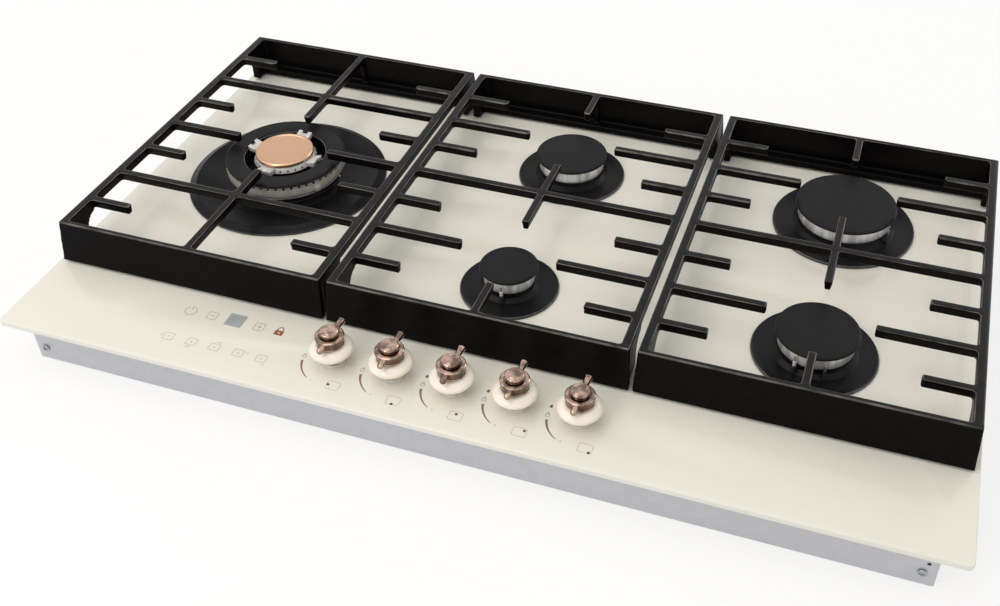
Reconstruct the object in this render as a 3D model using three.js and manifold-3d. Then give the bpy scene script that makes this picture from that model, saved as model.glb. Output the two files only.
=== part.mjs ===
// Built-in gas cooktop: a glass plate over a steel tray, five burners, three cast pan supports
// and five push-and-turn knobs. Millimetres, +Z up. The origin is on the ground under the middle
// of the tray, +X runs to the right and +Y to the back, as the cook sees it.
import * as THREE from 'three';
import { mergeVertices } from 'three/addons/utils/BufferGeometryUtils.js';
import Module from 'manifold-3d';

const wasm = await Module();
wasm.setup();

// ---------------------------------------------------------------- driving dimensions

// Clearances
const SEAT_GAP = 0.3; // between a piece and what it rests on
const BORE_GAP = 0.4; // round a shaft or spigot in its bore
const OVERCUT = 2; // how far a cutter runs past the face that it cuts
const SAME_POINT = 1e-4; // corners closer than this are one corner

// Glass plate
const GLASS_WIDTH = 860;
const GLASS_DEPTH = 500;
const GLASS_THICKNESS = 6;
const GLASS_CORNER_RADIUS = 7;
const GLASS_RIM_CLEARANCE = 0.5; // between the tray's walls and the rim that rests on the worktop

// Steel tray under the glass
const TRAY_HEIGHT = 45;
const TRAY_SIDE_INSET = 21;
const TRAY_FRONT_INSET = 13.5;
const SHEET = 1;
const TRAY_FLANGE = 9;
const CABLE_HOLE_RADIUS = 8;
const CABLE_HOLE_FROM_SIDE = 109;

// Burner layout, on the glass
const ROW_PITCH = 97;
const FRONT_ROW_FROM_EDGE = 189.7;

// Sizes of the burners: small, medium, large and wok
const SMALL_CAP_RADIUS = 27.8;
const MEDIUM_CAP_RADIUS = 37.3;
const LARGE_CAP_RADIUS = 49.5;
const WOK_RING_RADIUS = 62.6;
const SMALL_PLATE_RADIUS = 46.8;
const MEDIUM_PLATE_RADIUS = 55.9;
const LARGE_PLATE_RADIUS = 69.5;
const WOK_PLATE_RADIUS = 103.5;
const CAP_OVERHANG = 4;
const WOK_CAP_OVERHANG = 4.6;
const PLATE_RIM_WIDTH = 4;
const WOK_PLATE_RIM_WIDTH = 10;

// Burner stack, heights above the glass
const PLATE_EDGE_HEIGHT = 1.6;
const PLATE_RIM_HEIGHT = 4.4;
const PLATE_FLOOR_HEIGHT = 6.4;
const CROWN_BOTTOM_HEIGHT = 11.3;
const CROWN_HEIGHT = 12.7;
const CROWN_WALL = 3.2;
const CROWN_FLOOR = 3.4;
const CROWN_SLOT_WIDTH = 3;
const CROWN_SLOT_DEPTH = 3.4;
const HUB_INSET = 2;
const CAP_THICKNESS = 3.6;
const CAP_BEVEL = 1.5;
const CAP_RIM_DEPTH = 1.6;
const CAP_RIM_WALL = 2;
const SPIGOT_LENGTH = 8;
const GAS_PORT_RADIUS = 7;

// Burner cup under the glass, with its feed pipe
const CUP_TUBE_INSET = 7;
const CUP_TUBE_WALL = 2.5;
const CUP_TUBE_HEIGHT = 8;
const CUP_FLANGE_THICKNESS = 3;
const CUP_FLANGE_OVERLAP = 5;
const CUP_BODY_RADIUS = 13;
const CUP_FLOOR_CLEARANCE = 7;
const CUP_NOZZLE_RADIUS = 5;
const CUP_NOZZLE_DEPTH = 12;
const PIPE_RADIUS = 4;
const PIPE_BEND = 10;
const WOK_LANE = 60;
const MIDDLE_FRONT_LANE = 82;
const MIDDLE_BACK_LANE = 42;
const MIDDLE_BACK_DETOUR = 48;
const RIGHT_FRONT_LANE = 72;
const RIGHT_BACK_LANE = 238;

// Spark electrodes and flame sensors
const PIN_HOLE_GAP = 0.35;
const PIN_STANDOFF = 3.2;
const WOK_PIN_STANDOFF = 7;
const HOLE_PAST_PIN = 1;
const PIN_BELOW_FLANGE = 4;
const ELECTRODE_RADIUS = 2;
const ELECTRODE_WIRE_RADIUS = 0.9;
const ELECTRODE_SLEEVE_HEIGHT = 16.5;
const ELECTRODE_HEIGHT = 21.5;
const SENSOR_RADIUS = 1.6;
const SENSOR_HEIGHT = 20;
const SENSOR_NUT_RADIUS = 3.6;
const SENSOR_NUT_HEIGHT = 2.6;

// Wok burner, in the middle of the left pan support
const WOK_CROWN_HEIGHT = 15.7;
const WOK_CROWN_WALL = 10;
const WOK_FLANGE_OVERHANG = 2.4;
const WOK_FLANGE_HEIGHT = 1.6;
const WOK_BOSS_RADIUS = 20;
const WOK_BOSS_HEIGHT = 7.5;
const WOK_SOCKET_RADIUS = 12;
const WOK_RING_THICKNESS = 4.1;
const WOK_RING_INNER_RADIUS = 42.3;
const WOK_INNER_CROWN_RADIUS = 33;
const WOK_INNER_CROWN_FOOT_RADIUS = 24;
const WOK_INNER_CROWN_HEIGHT = 12.2;
const WOK_LUG_COUNT = 4;
const WOK_LUG_HEIGHT = 5;
const WOK_LUG_TIP_WIDTH = 17;
const WOK_LUG_ROOT_WIDTH = 26;
const WOK_CAP_RADIUS = 28.3;
const WOK_CAP_THICKNESS = 4.2;
const WOK_ELECTRODE_RADIUS_OUT = 37.8;

// Pan supports
const GRATE_MIDDLE_WIDTH = 280.4;
const GRATE_GAP = 7;
const GRATE_FROM_GLASS_SIDE = 7.2;
const GRATE_DEPTH = 383.8;
const GRATE_CENTRE_BACKSET = 2.9;
const GRATE_TOP_HEIGHT = 44.4;
const GRATE_FOOT_HEIGHT = 2;
const GRATE_FOOT_RADIUS = 3.8;
const GRATE_FOOT_INSET = 15;
const WALL_TOP_THICKNESS = 5;
const WALL_BOTTOM_THICKNESS = 7;
const WALL_LEAN = 6.3;
const LEDGE_REACH = 20;
const LEDGE_HEIGHT = 7;
const RIB_WIDTH = 5.2;
const RIB_TOP_REACH = 13;
const RIB_FOOT_REACH = 10;
const RAIL_WIDTH = 8;
const RAIL_HEIGHT = 10.4;
const LEG_LENGTH = 33;
const ARCH_RADIUS = 18;
const BAR_TOP_WIDTH = 7.6;
const BAR_BOTTOM_WIDTH = 5;
const BAR_HEIGHT = 9.4;
const SHORT_FINGER_TIP = 88.5;
const SHORT_ROW_STEPS = [-1, 1, 3, 5]; // rows of short fingers, counted from the front burners
const LONG_FINGER_TIP = 47;
const WOK_FINGER_TIP = 52;
const REAR_STUB_TIP = 54;

// Knobs
const KNOB_COUNT = 5;
const KNOB_PITCH = 56.5;
const KNOB_FROM_EDGE = 48;
const KNOB_TRAVEL = 3;
const KNOB_HOLE_RADIUS = 6.5;
const BOWL_RADIUS = 19.6;
const BOWL_FOOT_RADIUS = 14;
const BOWL_FOOT_HEIGHT = 2;
const BOWL_WIDEST_HEIGHT = 12.5;
const BOWL_TOP_HEIGHT = 19.7;
const BOWL_SEAT_RADIUS = 14.5;
const LEVER_BODY_RADIUS = 12.8;
const LEVER_BODY_TOP = 32;
const LEVER_BUTTON_RADIUS = 9.3;
const LEVER_BUTTON_TOP = 36.6;
const LEVER_CHAMFER = 1;
const LEVER_BAR_HEIGHT = 27.5;
const LEVER_NOSE_RADIUS = 2.9;
const LEVER_NOSE_REACH = 21;
const LEVER_TAIL_RADIUS = 3.6;
const LEVER_TAIL_REACH = 23.5;
const STEM_RADIUS = 4;
const STEM_FLAT = 2.6;

// Gas taps
const TAP_WIDTH = 24;
const TAP_DEPTH = 26;
const TAP_BODY_TOP = 31;
const TAP_NECK_RADIUS = 10.5;
const TAP_NECK_TOP = 40;
const TAP_OUTLET_RADIUS = 6;
const TAP_OUTLET_LENGTH = 6;
const TAP_PLUG_RADIUS = 7;
const TAP_PLUG_TOP = 42.5;
const TAP_PLUG_LENGTH = 28;
const TAP_SOCKET_DEPTH = 13;
const STEM_ENGAGEMENT = 8;
const GAS_HEIGHT = 21;

// Gas rail, ignition module and touch board
const RAIL_TUBE_RADIUS = 6;
const RAIL_BORE_RADIUS = 4.4;
const RAIL_OVERRUN = 16;
const RAIL_BEND = 14;
const RAIL_SIDE_GAP = 8;
const INLET_PAST_TRAY = 10;
const INLET_NUT_RADIUS = 9.5;
const INLET_NUT_LENGTH = 8;
const INLET_NUT_SIDES = 6;
const MODULE_SIZE = [70, 42, 24];
const MODULE_FROM_KNOB = 82;
const MODULE_BACKSET = 16;
const BOARD_SIZE = [130, 60, 7];
const BOARD_FROM_KNOB = 109;
const BOARD_BACKSET = 8;

// How round the pieces are cut
const BIG_ROUND = 24;
const SMALL_ROUND = 16;
const PIN_ROUND = 8;
const PIPE_SIDES = 8;
const CORNER_STEPS = 4;
const BOWL_STEPS = 3;

// ---------------------------------------------------------------- levels and places

const GLASS_UNDERSIDE = TRAY_HEIGHT;
const GLASS_TOP = GLASS_UNDERSIDE + GLASS_THICKNESS;
const TRAY_WIDTH = GLASS_WIDTH - 2 * TRAY_SIDE_INSET;
const TRAY_DEPTH = GLASS_DEPTH - 2 * TRAY_FRONT_INSET;
const FLANGE_TOP = GLASS_UNDERSIDE - SEAT_GAP;
const FLANGE_BOTTOM = FLANGE_TOP - CUP_FLANGE_THICKNESS;
const CROWN_BOTTOM = GLASS_TOP + CROWN_BOTTOM_HEIGHT;
const KNOB_Y = KNOB_FROM_EDGE - GLASS_DEPTH / 2;
const KNOB_ROW_END = ((KNOB_COUNT - 1) / 2) * KNOB_PITCH;
const PIPE_START_Y = KNOB_Y + TAP_DEPTH / 2 + TAP_OUTLET_LENGTH + SEAT_GAP;
const RAIL_TUBE_Y = KNOB_Y - TAP_DEPTH / 2 - SEAT_GAP - RAIL_TUBE_RADIUS;
const FRONT_ROW_Y = FRONT_ROW_FROM_EDGE - GLASS_DEPTH / 2;
const WOK_ROW_Y = FRONT_ROW_Y + ROW_PITCH;
const BACK_ROW_Y = FRONT_ROW_Y + 2 * ROW_PITCH;
const BAR_PITCH = ROW_PITCH / 2;
const GRATE_ROOM = GLASS_WIDTH - 2 * GRATE_FROM_GLASS_SIDE - 2 * GRATE_GAP;
const GRATE_SIDE_WIDTH = (GRATE_ROOM - GRATE_MIDDLE_WIDTH) / 2;
const COLUMN_PITCH = (GRATE_MIDDLE_WIDTH + GRATE_SIDE_WIDTH) / 2 + GRATE_GAP;
const GRATE_CENTRE_Y = WOK_ROW_Y + GRATE_CENTRE_BACKSET;

// The round burners' own sizes follow from their caps.
const SMALL = {
  cap: SMALL_CAP_RADIUS, crown: SMALL_CAP_RADIUS - CAP_OVERHANG, plate: SMALL_PLATE_RADIUS,
  rimWidth: PLATE_RIM_WIDTH, standoff: PIN_STANDOFF, slots: 8,
};
const MEDIUM = {
  ...SMALL, cap: MEDIUM_CAP_RADIUS, crown: MEDIUM_CAP_RADIUS - CAP_OVERHANG,
  plate: MEDIUM_PLATE_RADIUS, slots: 10,
};
const LARGE = {
  ...SMALL, cap: LARGE_CAP_RADIUS, crown: LARGE_CAP_RADIUS - CAP_OVERHANG,
  plate: LARGE_PLATE_RADIUS, slots: 12,
};
const WOK = {
  cap: WOK_RING_RADIUS, crown: WOK_RING_RADIUS - WOK_CAP_OVERHANG, plate: WOK_PLATE_RADIUS,
  rimWidth: WOK_PLATE_RIM_WIDTH, standoff: WOK_PIN_STANDOFF, slots: 16,
  name: 'left_wok', x: -COLUMN_PITCH, y: WOK_ROW_Y, electrodeDeg: 20, sensorDeg: -5,
  knob: -2, lane: KNOB_Y + WOK_LANE, detour: 0,
};

// Each burner: where it stands, where its two pins stand, which knob feeds it and the line
// along which its pipe crosses the tray.
const BURNERS = [
  WOK,
  {
    ...SMALL, name: 'middle_front', x: 0, y: FRONT_ROW_Y, electrodeDeg: -86, sensorDeg: 150,
    knob: -1, lane: KNOB_Y + MIDDLE_FRONT_LANE, detour: 0,
  },
  {
    ...MEDIUM, name: 'middle_back', x: 0, y: BACK_ROW_Y, electrodeDeg: 75, sensorDeg: 135,
    knob: 0, lane: KNOB_Y + MIDDLE_BACK_LANE, detour: MIDDLE_BACK_DETOUR,
  },
  {
    ...LARGE, name: 'right_back', x: COLUMN_PITCH, y: BACK_ROW_Y, electrodeDeg: 75, sensorDeg: -25,
    knob: 1, lane: KNOB_Y + RIGHT_BACK_LANE, detour: 0,
  },
  {
    ...MEDIUM, name: 'right_front', x: COLUMN_PITCH, y: FRONT_ROW_Y, electrodeDeg: -112, sensorDeg: -70,
    knob: 2, lane: KNOB_Y + RIGHT_FRONT_LANE, detour: 0,
  },
];

// ---------------------------------------------------------------- finishes

const finish = (color, roughness, metalness) =>
  new THREE.MeshStandardMaterial({ color, roughness, metalness });
const FINISHES = {
  glass: finish('#e2dcce', 0.12, 0),
  castIron: finish('#1d1c1c', 0.55, 0.1),
  blackEnamel: finish('#222222', 0.3, 0),
  aluminium: finish('#c4c2c0', 0.35, 1),
  copper: finish('#d9a488', 0.25, 1),
  cream: finish('#efe5d6', 0.3, 0),
  steel: finish('#b2b3b4', 0.5, 0.9),
  brass: finish('#b59a5a', 0.35, 1),
  ceramic: finish('#ece8e0', 0.4, 0),
  plastic: finish('#2b2b2d', 0.6, 0),
  circuitBoard: finish('#2f5a3c', 0.6, 0),
};

// ---------------------------------------------------------------- shaping helpers

// A closed three.js geometry becomes a solid: shared vertices are merged and the triangles
// that shrink to nothing on a turning axis are left out.
function solid(geometry) {
  const bare = geometry.clone();
  bare.deleteAttribute('normal');
  bare.deleteAttribute('uv');
  const merged = mergeVertices(bare, SAME_POINT);
  const index = merged.index.array;
  const triVerts = [];
  for (let i = 0; i < index.length; i += 3) {
    const [a, b, c] = [index[i], index[i + 1], index[i + 2]];
    if (a !== b && b !== c && c !== a) triVerts.push(a, b, c);
  }
  return new wasm.Manifold(new wasm.Mesh({
    numProp: 3,
    vertProperties: new Float32Array(merged.attributes.position.array),
    triVerts: new Uint32Array(triVerts),
  }));
}

const join = (solids) => solids.reduce((whole, next) => whole.add(next));
const cut = (whole, cutters) => cutters.reduce((rest, next) => rest.subtract(next), whole);

// A solid becomes a named mesh. Faces that lie in one plane after a join become one face,
// unless their seams are kept.
function part(name, shape, material, keepsSeams = false) {
  const whole = keepsSeams ? shape : shape.asOriginal();
  const { vertProperties, triVerts } = whole.getMesh();
  const geometry = new THREE.BufferGeometry();
  geometry.setAttribute('position', new THREE.BufferAttribute(vertProperties, 3));
  geometry.setIndex(new THREE.BufferAttribute(triVerts, 1));
  geometry.computeVertexNormals();
  const mesh = new THREE.Mesh(geometry, material);
  mesh.name = name;
  return mesh;
}

// A box between two corners.
function block([x0, y0, z0], [x1, y1, z1]) {
  const geometry = new THREE.BoxGeometry(x1 - x0, y1 - y0, z1 - z0);
  geometry.translate((x0 + x1) / 2, (y0 + y1) / 2, (z0 + z1) / 2);
  return solid(geometry);
}

// A round rod along Z, Y or any line between two points, with its own radius at each end.
function rod(from, to, fromRadius, toRadius = fromRadius, sides = SMALL_ROUND) {
  const start = new THREE.Vector3(...from);
  const run = new THREE.Vector3(...to).sub(start);
  const geometry = new THREE.CylinderGeometry(toRadius, fromRadius, run.length(), sides);
  geometry.translate(0, run.length() / 2, 0);
  const up = new THREE.Vector3(0, 1, 0);
  geometry.applyQuaternion(new THREE.Quaternion().setFromUnitVectors(up, run.clone().normalize()));
  geometry.translate(start.x, start.y, start.z);
  return solid(geometry);
}

// A solid turned about an upright axis. The profile lists radius and height, from the
// lowest point on the outside upwards and back down the inside.
function turned(profile, sides = BIG_ROUND, [x, y] = [0, 0]) {
  const points = profile.map(([radius, height]) => new THREE.Vector2(radius, height));
  const onAxis = profile[0][0] === 0 && profile.at(-1)[0] === 0;
  if (!onAxis) points.push(points[0].clone());
  const geometry = new THREE.LatheGeometry(points, sides);
  geometry.rotateX(Math.PI / 2);
  geometry.translate(x, y, 0);
  return solid(geometry);
}

// An outline in the XY plane, pulled up from one height to another.
function raised(shape, bottom, top, curveSegments = CORNER_STEPS) {
  const options = { depth: top - bottom, bevelEnabled: false, curveSegments };
  const geometry = new THREE.ExtrudeGeometry(shape, options);
  geometry.translate(0, 0, bottom);
  return solid(geometry);
}

// An outline in the YZ plane, pulled along X from one place to another.
function pulledAlongX(shape, from, to, curveSegments = CORNER_STEPS) {
  const options = { depth: to - from, bevelEnabled: false, curveSegments };
  const geometry = new THREE.ExtrudeGeometry(shape, options);
  geometry.applyMatrix4(new THREE.Matrix4().set(0, 0, 1, from, 1, 0, 0, 0, 0, 1, 0, 0, 0, 0, 0, 1));
  return solid(geometry);
}

const polygon = (points) => new THREE.Shape(points.map(([x, y]) => new THREE.Vector2(x, y)));

function roundedRectangle(halfWidth, halfDepth, radius) {
  const shape = new THREE.Shape();
  const cx = halfWidth - radius;
  const cy = halfDepth - radius;
  shape.absarc(cx, cy, radius, 0, Math.PI / 2);
  shape.absarc(-cx, cy, radius, Math.PI / 2, Math.PI);
  shape.absarc(-cx, -cy, radius, Math.PI, Math.PI * 1.5);
  shape.absarc(cx, -cy, radius, Math.PI * 1.5, Math.PI * 2);
  shape.closePath();
  return shape;
}

// A place at a distance from the axis, in a direction counted from +X towards +Y.
function fromAxis(radius, degrees) {
  const angle = THREE.MathUtils.degToRad(degrees);
  return [radius * Math.cos(angle), radius * Math.sin(angle)];
}

// A path through a list of points, in straight runs. Each corner faces halfway between the
// runs on its two sides.
class StraightRuns extends THREE.Curve {
  constructor(points) {
    super();
    this.points = points;
  }

  getPointAt(share, target = new THREE.Vector3()) {
    return target.copy(this.points[Math.round(share * (this.points.length - 1))]);
  }

  getTangentAt(share, target = new THREE.Vector3()) {
    const last = this.points.length - 1;
    const here = Math.round(share * last);
    const run = (i) => this.points[i + 1].clone().sub(this.points[i]).normalize();
    const arriving = run(Math.max(here - 1, 0));
    const leaving = run(Math.min(here, last - 1));
    return target.copy(arriving.add(leaving).normalize());
  }
}

// A pipe along a route. Every corner of the route is cut off, so the pipe turns in two steps.
function pipe(corners, radius, bend) {
  const points = corners.map((corner) => new THREE.Vector3(...corner));
  const route = points.flatMap((point, i) => {
    if (i === 0 || i === points.length - 1) return [point];
    const back = points[i - 1].clone().sub(point).setLength(bend);
    const ahead = points[i + 1].clone().sub(point).setLength(bend);
    return [back.add(point), ahead.add(point)];
  });
  const section = new THREE.Shape();
  section.absarc(0, 0, radius, 0, 2 * Math.PI);
  return solid(new THREE.ExtrudeGeometry(section, {
    steps: route.length - 1,
    curveSegments: PIPE_SIDES / 2,
    extrudePath: new StraightRuns(route),
  }));
}

// ---------------------------------------------------------------- glass and tray

const burnerHole = (burner) =>
  burner.crown + burner.standoff + ELECTRODE_RADIUS + HOLE_PAST_PIN;
const knobX = (step) => step * KNOB_PITCH;
const knobSteps = Array.from({ length: KNOB_COUNT }, (_, i) => i - (KNOB_COUNT - 1) / 2);

// The glass plate has two areas, with a seam between them on its faces: the bare rim, which
// rests on the worktop, and the middle over the tray.
function glassTop() {
  const shape = roundedRectangle(GLASS_WIDTH / 2, GLASS_DEPTH / 2, GLASS_CORNER_RADIUS);
  const bottom = GLASS_UNDERSIDE - OVERCUT;
  const top = GLASS_TOP + OVERCUT;
  const seamX = TRAY_WIDTH / 2 + GLASS_RIM_CLEARANCE;
  const seamY = TRAY_DEPTH / 2 + GLASS_RIM_CLEARANCE;
  const middle = block([-seamX, -seamY, GLASS_UNDERSIDE], [seamX, seamY, GLASS_TOP]);
  const window = block([-seamX, -seamY, bottom], [seamX, seamY, top]);
  const rim = cut(raised(shape, GLASS_UNDERSIDE, GLASS_TOP), [window]);
  const burnerCuts = BURNERS.map((burner) => {
    const centre = [burner.x, burner.y];
    return rod([...centre, bottom], [...centre, top], burnerHole(burner), burnerHole(burner), BIG_ROUND);
  });
  const knobCuts = knobSteps.map((step) => {
    const centre = [knobX(step), KNOB_Y];
    return rod([...centre, bottom], [...centre, top], KNOB_HOLE_RADIUS, KNOB_HOLE_RADIUS, PIN_ROUND);
  });
  return cut(join([rim, middle]), [...burnerCuts, ...knobCuts]);
}

function trayCase() {
  const [halfWidth, halfDepth] = [TRAY_WIDTH / 2, TRAY_DEPTH / 2];
  const shell = block([-halfWidth, -halfDepth, 0], [halfWidth, halfDepth, FLANGE_TOP]);
  const [innerX, innerY] = [halfWidth - SHEET, halfDepth - SHEET];
  const hollow = block([-innerX, -innerY, SHEET], [innerX, innerY, FLANGE_TOP - SHEET]);
  const [mouthX, mouthY] = [halfWidth - TRAY_FLANGE, halfDepth - TRAY_FLANGE];
  const mouth = block([-mouthX, -mouthY, SHEET * 2], [mouthX, mouthY, FLANGE_TOP + OVERCUT]);
  const backWall = [halfDepth - SHEET - OVERCUT, halfDepth + OVERCUT];
  const inletHole = rod(
    [inletX(), backWall[0], GAS_HEIGHT],
    [inletX(), backWall[1], GAS_HEIGHT],
    RAIL_TUBE_RADIUS + SEAT_GAP,
    RAIL_TUBE_RADIUS + SEAT_GAP,
    PIPE_SIDES * 2,
  );
  const cableHole = rod(
    [CABLE_HOLE_FROM_SIDE - halfWidth, backWall[0], GAS_HEIGHT],
    [CABLE_HOLE_FROM_SIDE - halfWidth, backWall[1], GAS_HEIGHT],
    CABLE_HOLE_RADIUS,
    CABLE_HOLE_RADIUS,
    PIPE_SIDES * 2,
  );
  return cut(shell, [hollow, mouth, inletHole, cableHole]);
}

// ---------------------------------------------------------------- burners

const tubeRadius = (burner) => burner.crown - CUP_TUBE_INSET;
const pinRadius = (burner) => burner.crown + burner.standoff;
const electrodeOut = (burner) =>
  (burner === WOK ? WOK_ELECTRODE_RADIUS_OUT : pinRadius(burner));
const electrodePlace = (burner) => fromAxis(electrodeOut(burner), burner.electrodeDeg);
const sensorPlace = (burner) => fromAxis(pinRadius(burner), burner.sensorDeg);

// Holes for the two pins of a burner, from below its cup flange to above its crown floor.
function pinHoles(burner) {
  const bottom = FLANGE_BOTTOM - OVERCUT;
  const top = CROWN_BOTTOM + CROWN_HEIGHT;
  const electrodeHole = ELECTRODE_RADIUS + PIN_HOLE_GAP;
  const sensorHole = SENSOR_RADIUS + PIN_HOLE_GAP;
  const [ex, ey] = electrodePlace(burner);
  const [sx, sy] = sensorPlace(burner);
  return [
    rod([ex, ey, bottom], [ex, ey, top], electrodeHole, electrodeHole, PIN_ROUND),
    rod([sx, sy, bottom], [sx, sy, top], sensorHole, sensorHole, PIN_ROUND),
  ];
}

// Enamelled plate that covers the hole in the glass: a thin edge, a sloped rim and a hub
// that the crown stands on.
function drippingPlate(burner) {
  const level = (height) => GLASS_TOP + height;
  const bore = tubeRadius(burner) + BORE_GAP;
  const hub = burner.crown - HUB_INSET;
  const profile = [
    [bore, level(SEAT_GAP)],
    [burner.plate, level(SEAT_GAP)],
    [burner.plate, level(PLATE_EDGE_HEIGHT)],
    [burner.plate - burner.rimWidth, level(PLATE_RIM_HEIGHT)],
    [hub, level(PLATE_FLOOR_HEIGHT)],
    [hub, CROWN_BOTTOM - SEAT_GAP],
    [bore, CROWN_BOTTOM - SEAT_GAP],
  ];
  return cut(turned(profile), pinHoles(burner));
}

// Cast cup under the glass: a body with the gas nozzle's chamber, a flange that the glass
// rests on and a tube up through the plate. Its feed pipe comes from its own tap.
function burnerCup(burner) {
  const tube = tubeRadius(burner);
  const bowl = tube - CUP_TUBE_WALL;
  const flange = burnerHole(burner) + CUP_FLANGE_OVERLAP;
  const bottom = SHEET + CUP_FLOOR_CLEARANCE;
  const profile = [
    [0, bottom],
    [CUP_BODY_RADIUS, bottom],
    [CUP_BODY_RADIUS, FLANGE_BOTTOM],
    [flange, FLANGE_BOTTOM],
    [flange, FLANGE_TOP],
    [tube, FLANGE_TOP],
    [tube, GLASS_TOP + CUP_TUBE_HEIGHT],
    [bowl, GLASS_TOP + CUP_TUBE_HEIGHT],
    [bowl, FLANGE_TOP],
    [CUP_NOZZLE_RADIUS, FLANGE_TOP],
    [CUP_NOZZLE_RADIUS, FLANGE_TOP - CUP_NOZZLE_DEPTH],
    [0, FLANGE_TOP - CUP_NOZZLE_DEPTH],
  ];
  const tapX = knobX(burner.knob) - burner.x;
  const laneY = burner.lane - burner.y;
  const route = [
    [tapX, PIPE_START_Y - burner.y, GAS_HEIGHT],
    [tapX, laneY, GAS_HEIGHT],
    [burner.detour, laneY, GAS_HEIGHT],
  ];
  if (burner.detour > 0) {
    route.push([burner.detour, -burner.detour, GAS_HEIGHT], [0, -burner.detour, GAS_HEIGHT]);
  }
  route.push([0, -CUP_BODY_RADIUS / 2, GAS_HEIGHT]);
  const cast = turned(profile).add(pipe(route, PIPE_RADIUS, PIPE_BEND));
  return cut(cast, pinHoles(burner));
}

// Slots round the top edge of a crown, where the flames come out.
function flameSlots(burner, top) {
  const length = burner.crown + OVERCUT;
  return Array.from({ length: burner.slots }, (_, i) => {
    const halfWidth = CROWN_SLOT_WIDTH / 2;
    const geometry = new THREE.BoxGeometry(length, halfWidth * 2, CROWN_SLOT_DEPTH + OVERCUT);
    const lift = top + OVERCUT / 2 - CROWN_SLOT_DEPTH / 2;
    geometry.translate(length / 2 + burner.crown / 2, 0, lift);
    geometry.rotateZ((2 * Math.PI * (i + 0.5)) / burner.slots);
    return solid(geometry);
  });
}

// Cast crown of a round burner: a shallow cup with a spigot that drops into the burner cup.
function burnerCrown(burner) {
  const bottom = CROWN_BOTTOM;
  const top = bottom + CROWN_HEIGHT;
  const spigot = tubeRadius(burner) - CUP_TUBE_WALL - BORE_GAP;
  const chamber = burner.crown - CROWN_WALL;
  const profile = [
    [GAS_PORT_RADIUS, bottom - SPIGOT_LENGTH],
    [spigot, bottom - SPIGOT_LENGTH],
    [spigot, bottom],
    [burner.crown, bottom],
    [burner.crown, top],
    [chamber, top],
    [chamber, bottom + CROWN_FLOOR],
    [GAS_PORT_RADIUS, bottom + CROWN_FLOOR],
  ];
  return cut(turned(profile), flameSlots(burner, top));
}

// Enamelled cap: a bevelled disc with a low rim that centres it in the crown.
function burnerCap(burner) {
  const seat = CROWN_BOTTOM + CROWN_HEIGHT + SEAT_GAP;
  const top = seat + CAP_THICKNESS;
  const rim = burner.crown - CROWN_WALL - BORE_GAP;
  const profile = [
    [0, seat],
    [rim - CAP_RIM_WALL, seat],
    [rim - CAP_RIM_WALL, seat - CAP_RIM_DEPTH],
    [rim, seat - CAP_RIM_DEPTH],
    [rim, seat],
    [burner.cap, seat],
    [burner.cap, top - CAP_BEVEL],
    [burner.cap - CAP_BEVEL, top],
    [0, top],
  ];
  return turned(profile);
}

// Spark electrode: a ceramic sleeve with a wire tip. It stands in the flange of its cup.
function sparkElectrode(burner) {
  const sleeveTop = GLASS_TOP + ELECTRODE_SLEEVE_HEIGHT;
  const profile = [
    [0, FLANGE_BOTTOM - PIN_BELOW_FLANGE],
    [ELECTRODE_RADIUS, FLANGE_BOTTOM - PIN_BELOW_FLANGE],
    [ELECTRODE_RADIUS, sleeveTop],
    [ELECTRODE_WIRE_RADIUS, sleeveTop],
    [ELECTRODE_WIRE_RADIUS, GLASS_TOP + ELECTRODE_HEIGHT],
    [0, GLASS_TOP + ELECTRODE_HEIGHT],
  ];
  return turned(profile, PIN_ROUND, electrodePlace(burner));
}

// Flame sensor: a thin rod with a nut under the cup flange.
function flameSensor(burner) {
  const nutTop = FLANGE_BOTTOM - SEAT_GAP;
  const profile = [
    [0, nutTop - SENSOR_NUT_HEIGHT],
    [SENSOR_NUT_RADIUS, nutTop - SENSOR_NUT_HEIGHT],
    [SENSOR_NUT_RADIUS, nutTop],
    [SENSOR_RADIUS, nutTop],
    [SENSOR_RADIUS, GLASS_TOP + SENSOR_HEIGHT],
    [0, GLASS_TOP + SENSOR_HEIGHT],
  ];
  return turned(profile, PIN_ROUND, sensorPlace(burner));
}

// ---------------------------------------------------------------- wok burner

const WOK_CROWN_TOP = CROWN_BOTTOM + WOK_CROWN_HEIGHT;
const WOK_INNER_SEAT = CROWN_BOTTOM + WOK_BOSS_HEIGHT;
const WOK_INNER_TOP = WOK_INNER_SEAT + SEAT_GAP + WOK_INNER_CROWN_HEIGHT;

// Outer crown of the wok burner: a tall slotted ring with a base flange, a floor and a
// middle boss for the inner crown.
function wokCrown() {
  const spigot = tubeRadius(WOK) - CUP_TUBE_WALL - BORE_GAP;
  const ringInside = WOK.crown - WOK_CROWN_WALL;
  const flange = WOK.crown + WOK_FLANGE_OVERHANG;
  const profile = [
    [WOK_SOCKET_RADIUS, CROWN_BOTTOM - SPIGOT_LENGTH],
    [spigot, CROWN_BOTTOM - SPIGOT_LENGTH],
    [spigot, CROWN_BOTTOM],
    [flange, CROWN_BOTTOM],
    [flange, CROWN_BOTTOM + WOK_FLANGE_HEIGHT],
    [WOK.crown, CROWN_BOTTOM + WOK_FLANGE_HEIGHT],
    [WOK.crown, WOK_CROWN_TOP],
    [ringInside, WOK_CROWN_TOP],
    [ringInside, CROWN_BOTTOM + CROWN_FLOOR],
    [WOK_BOSS_RADIUS, CROWN_BOTTOM + CROWN_FLOOR],
    [WOK_BOSS_RADIUS, WOK_INNER_SEAT],
    [WOK_SOCKET_RADIUS, WOK_INNER_SEAT],
  ];
  const body = turned(profile);
  return cut(body, [...flameSlots(WOK, WOK_CROWN_TOP), ...pinHoles(WOK)]);
}

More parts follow.
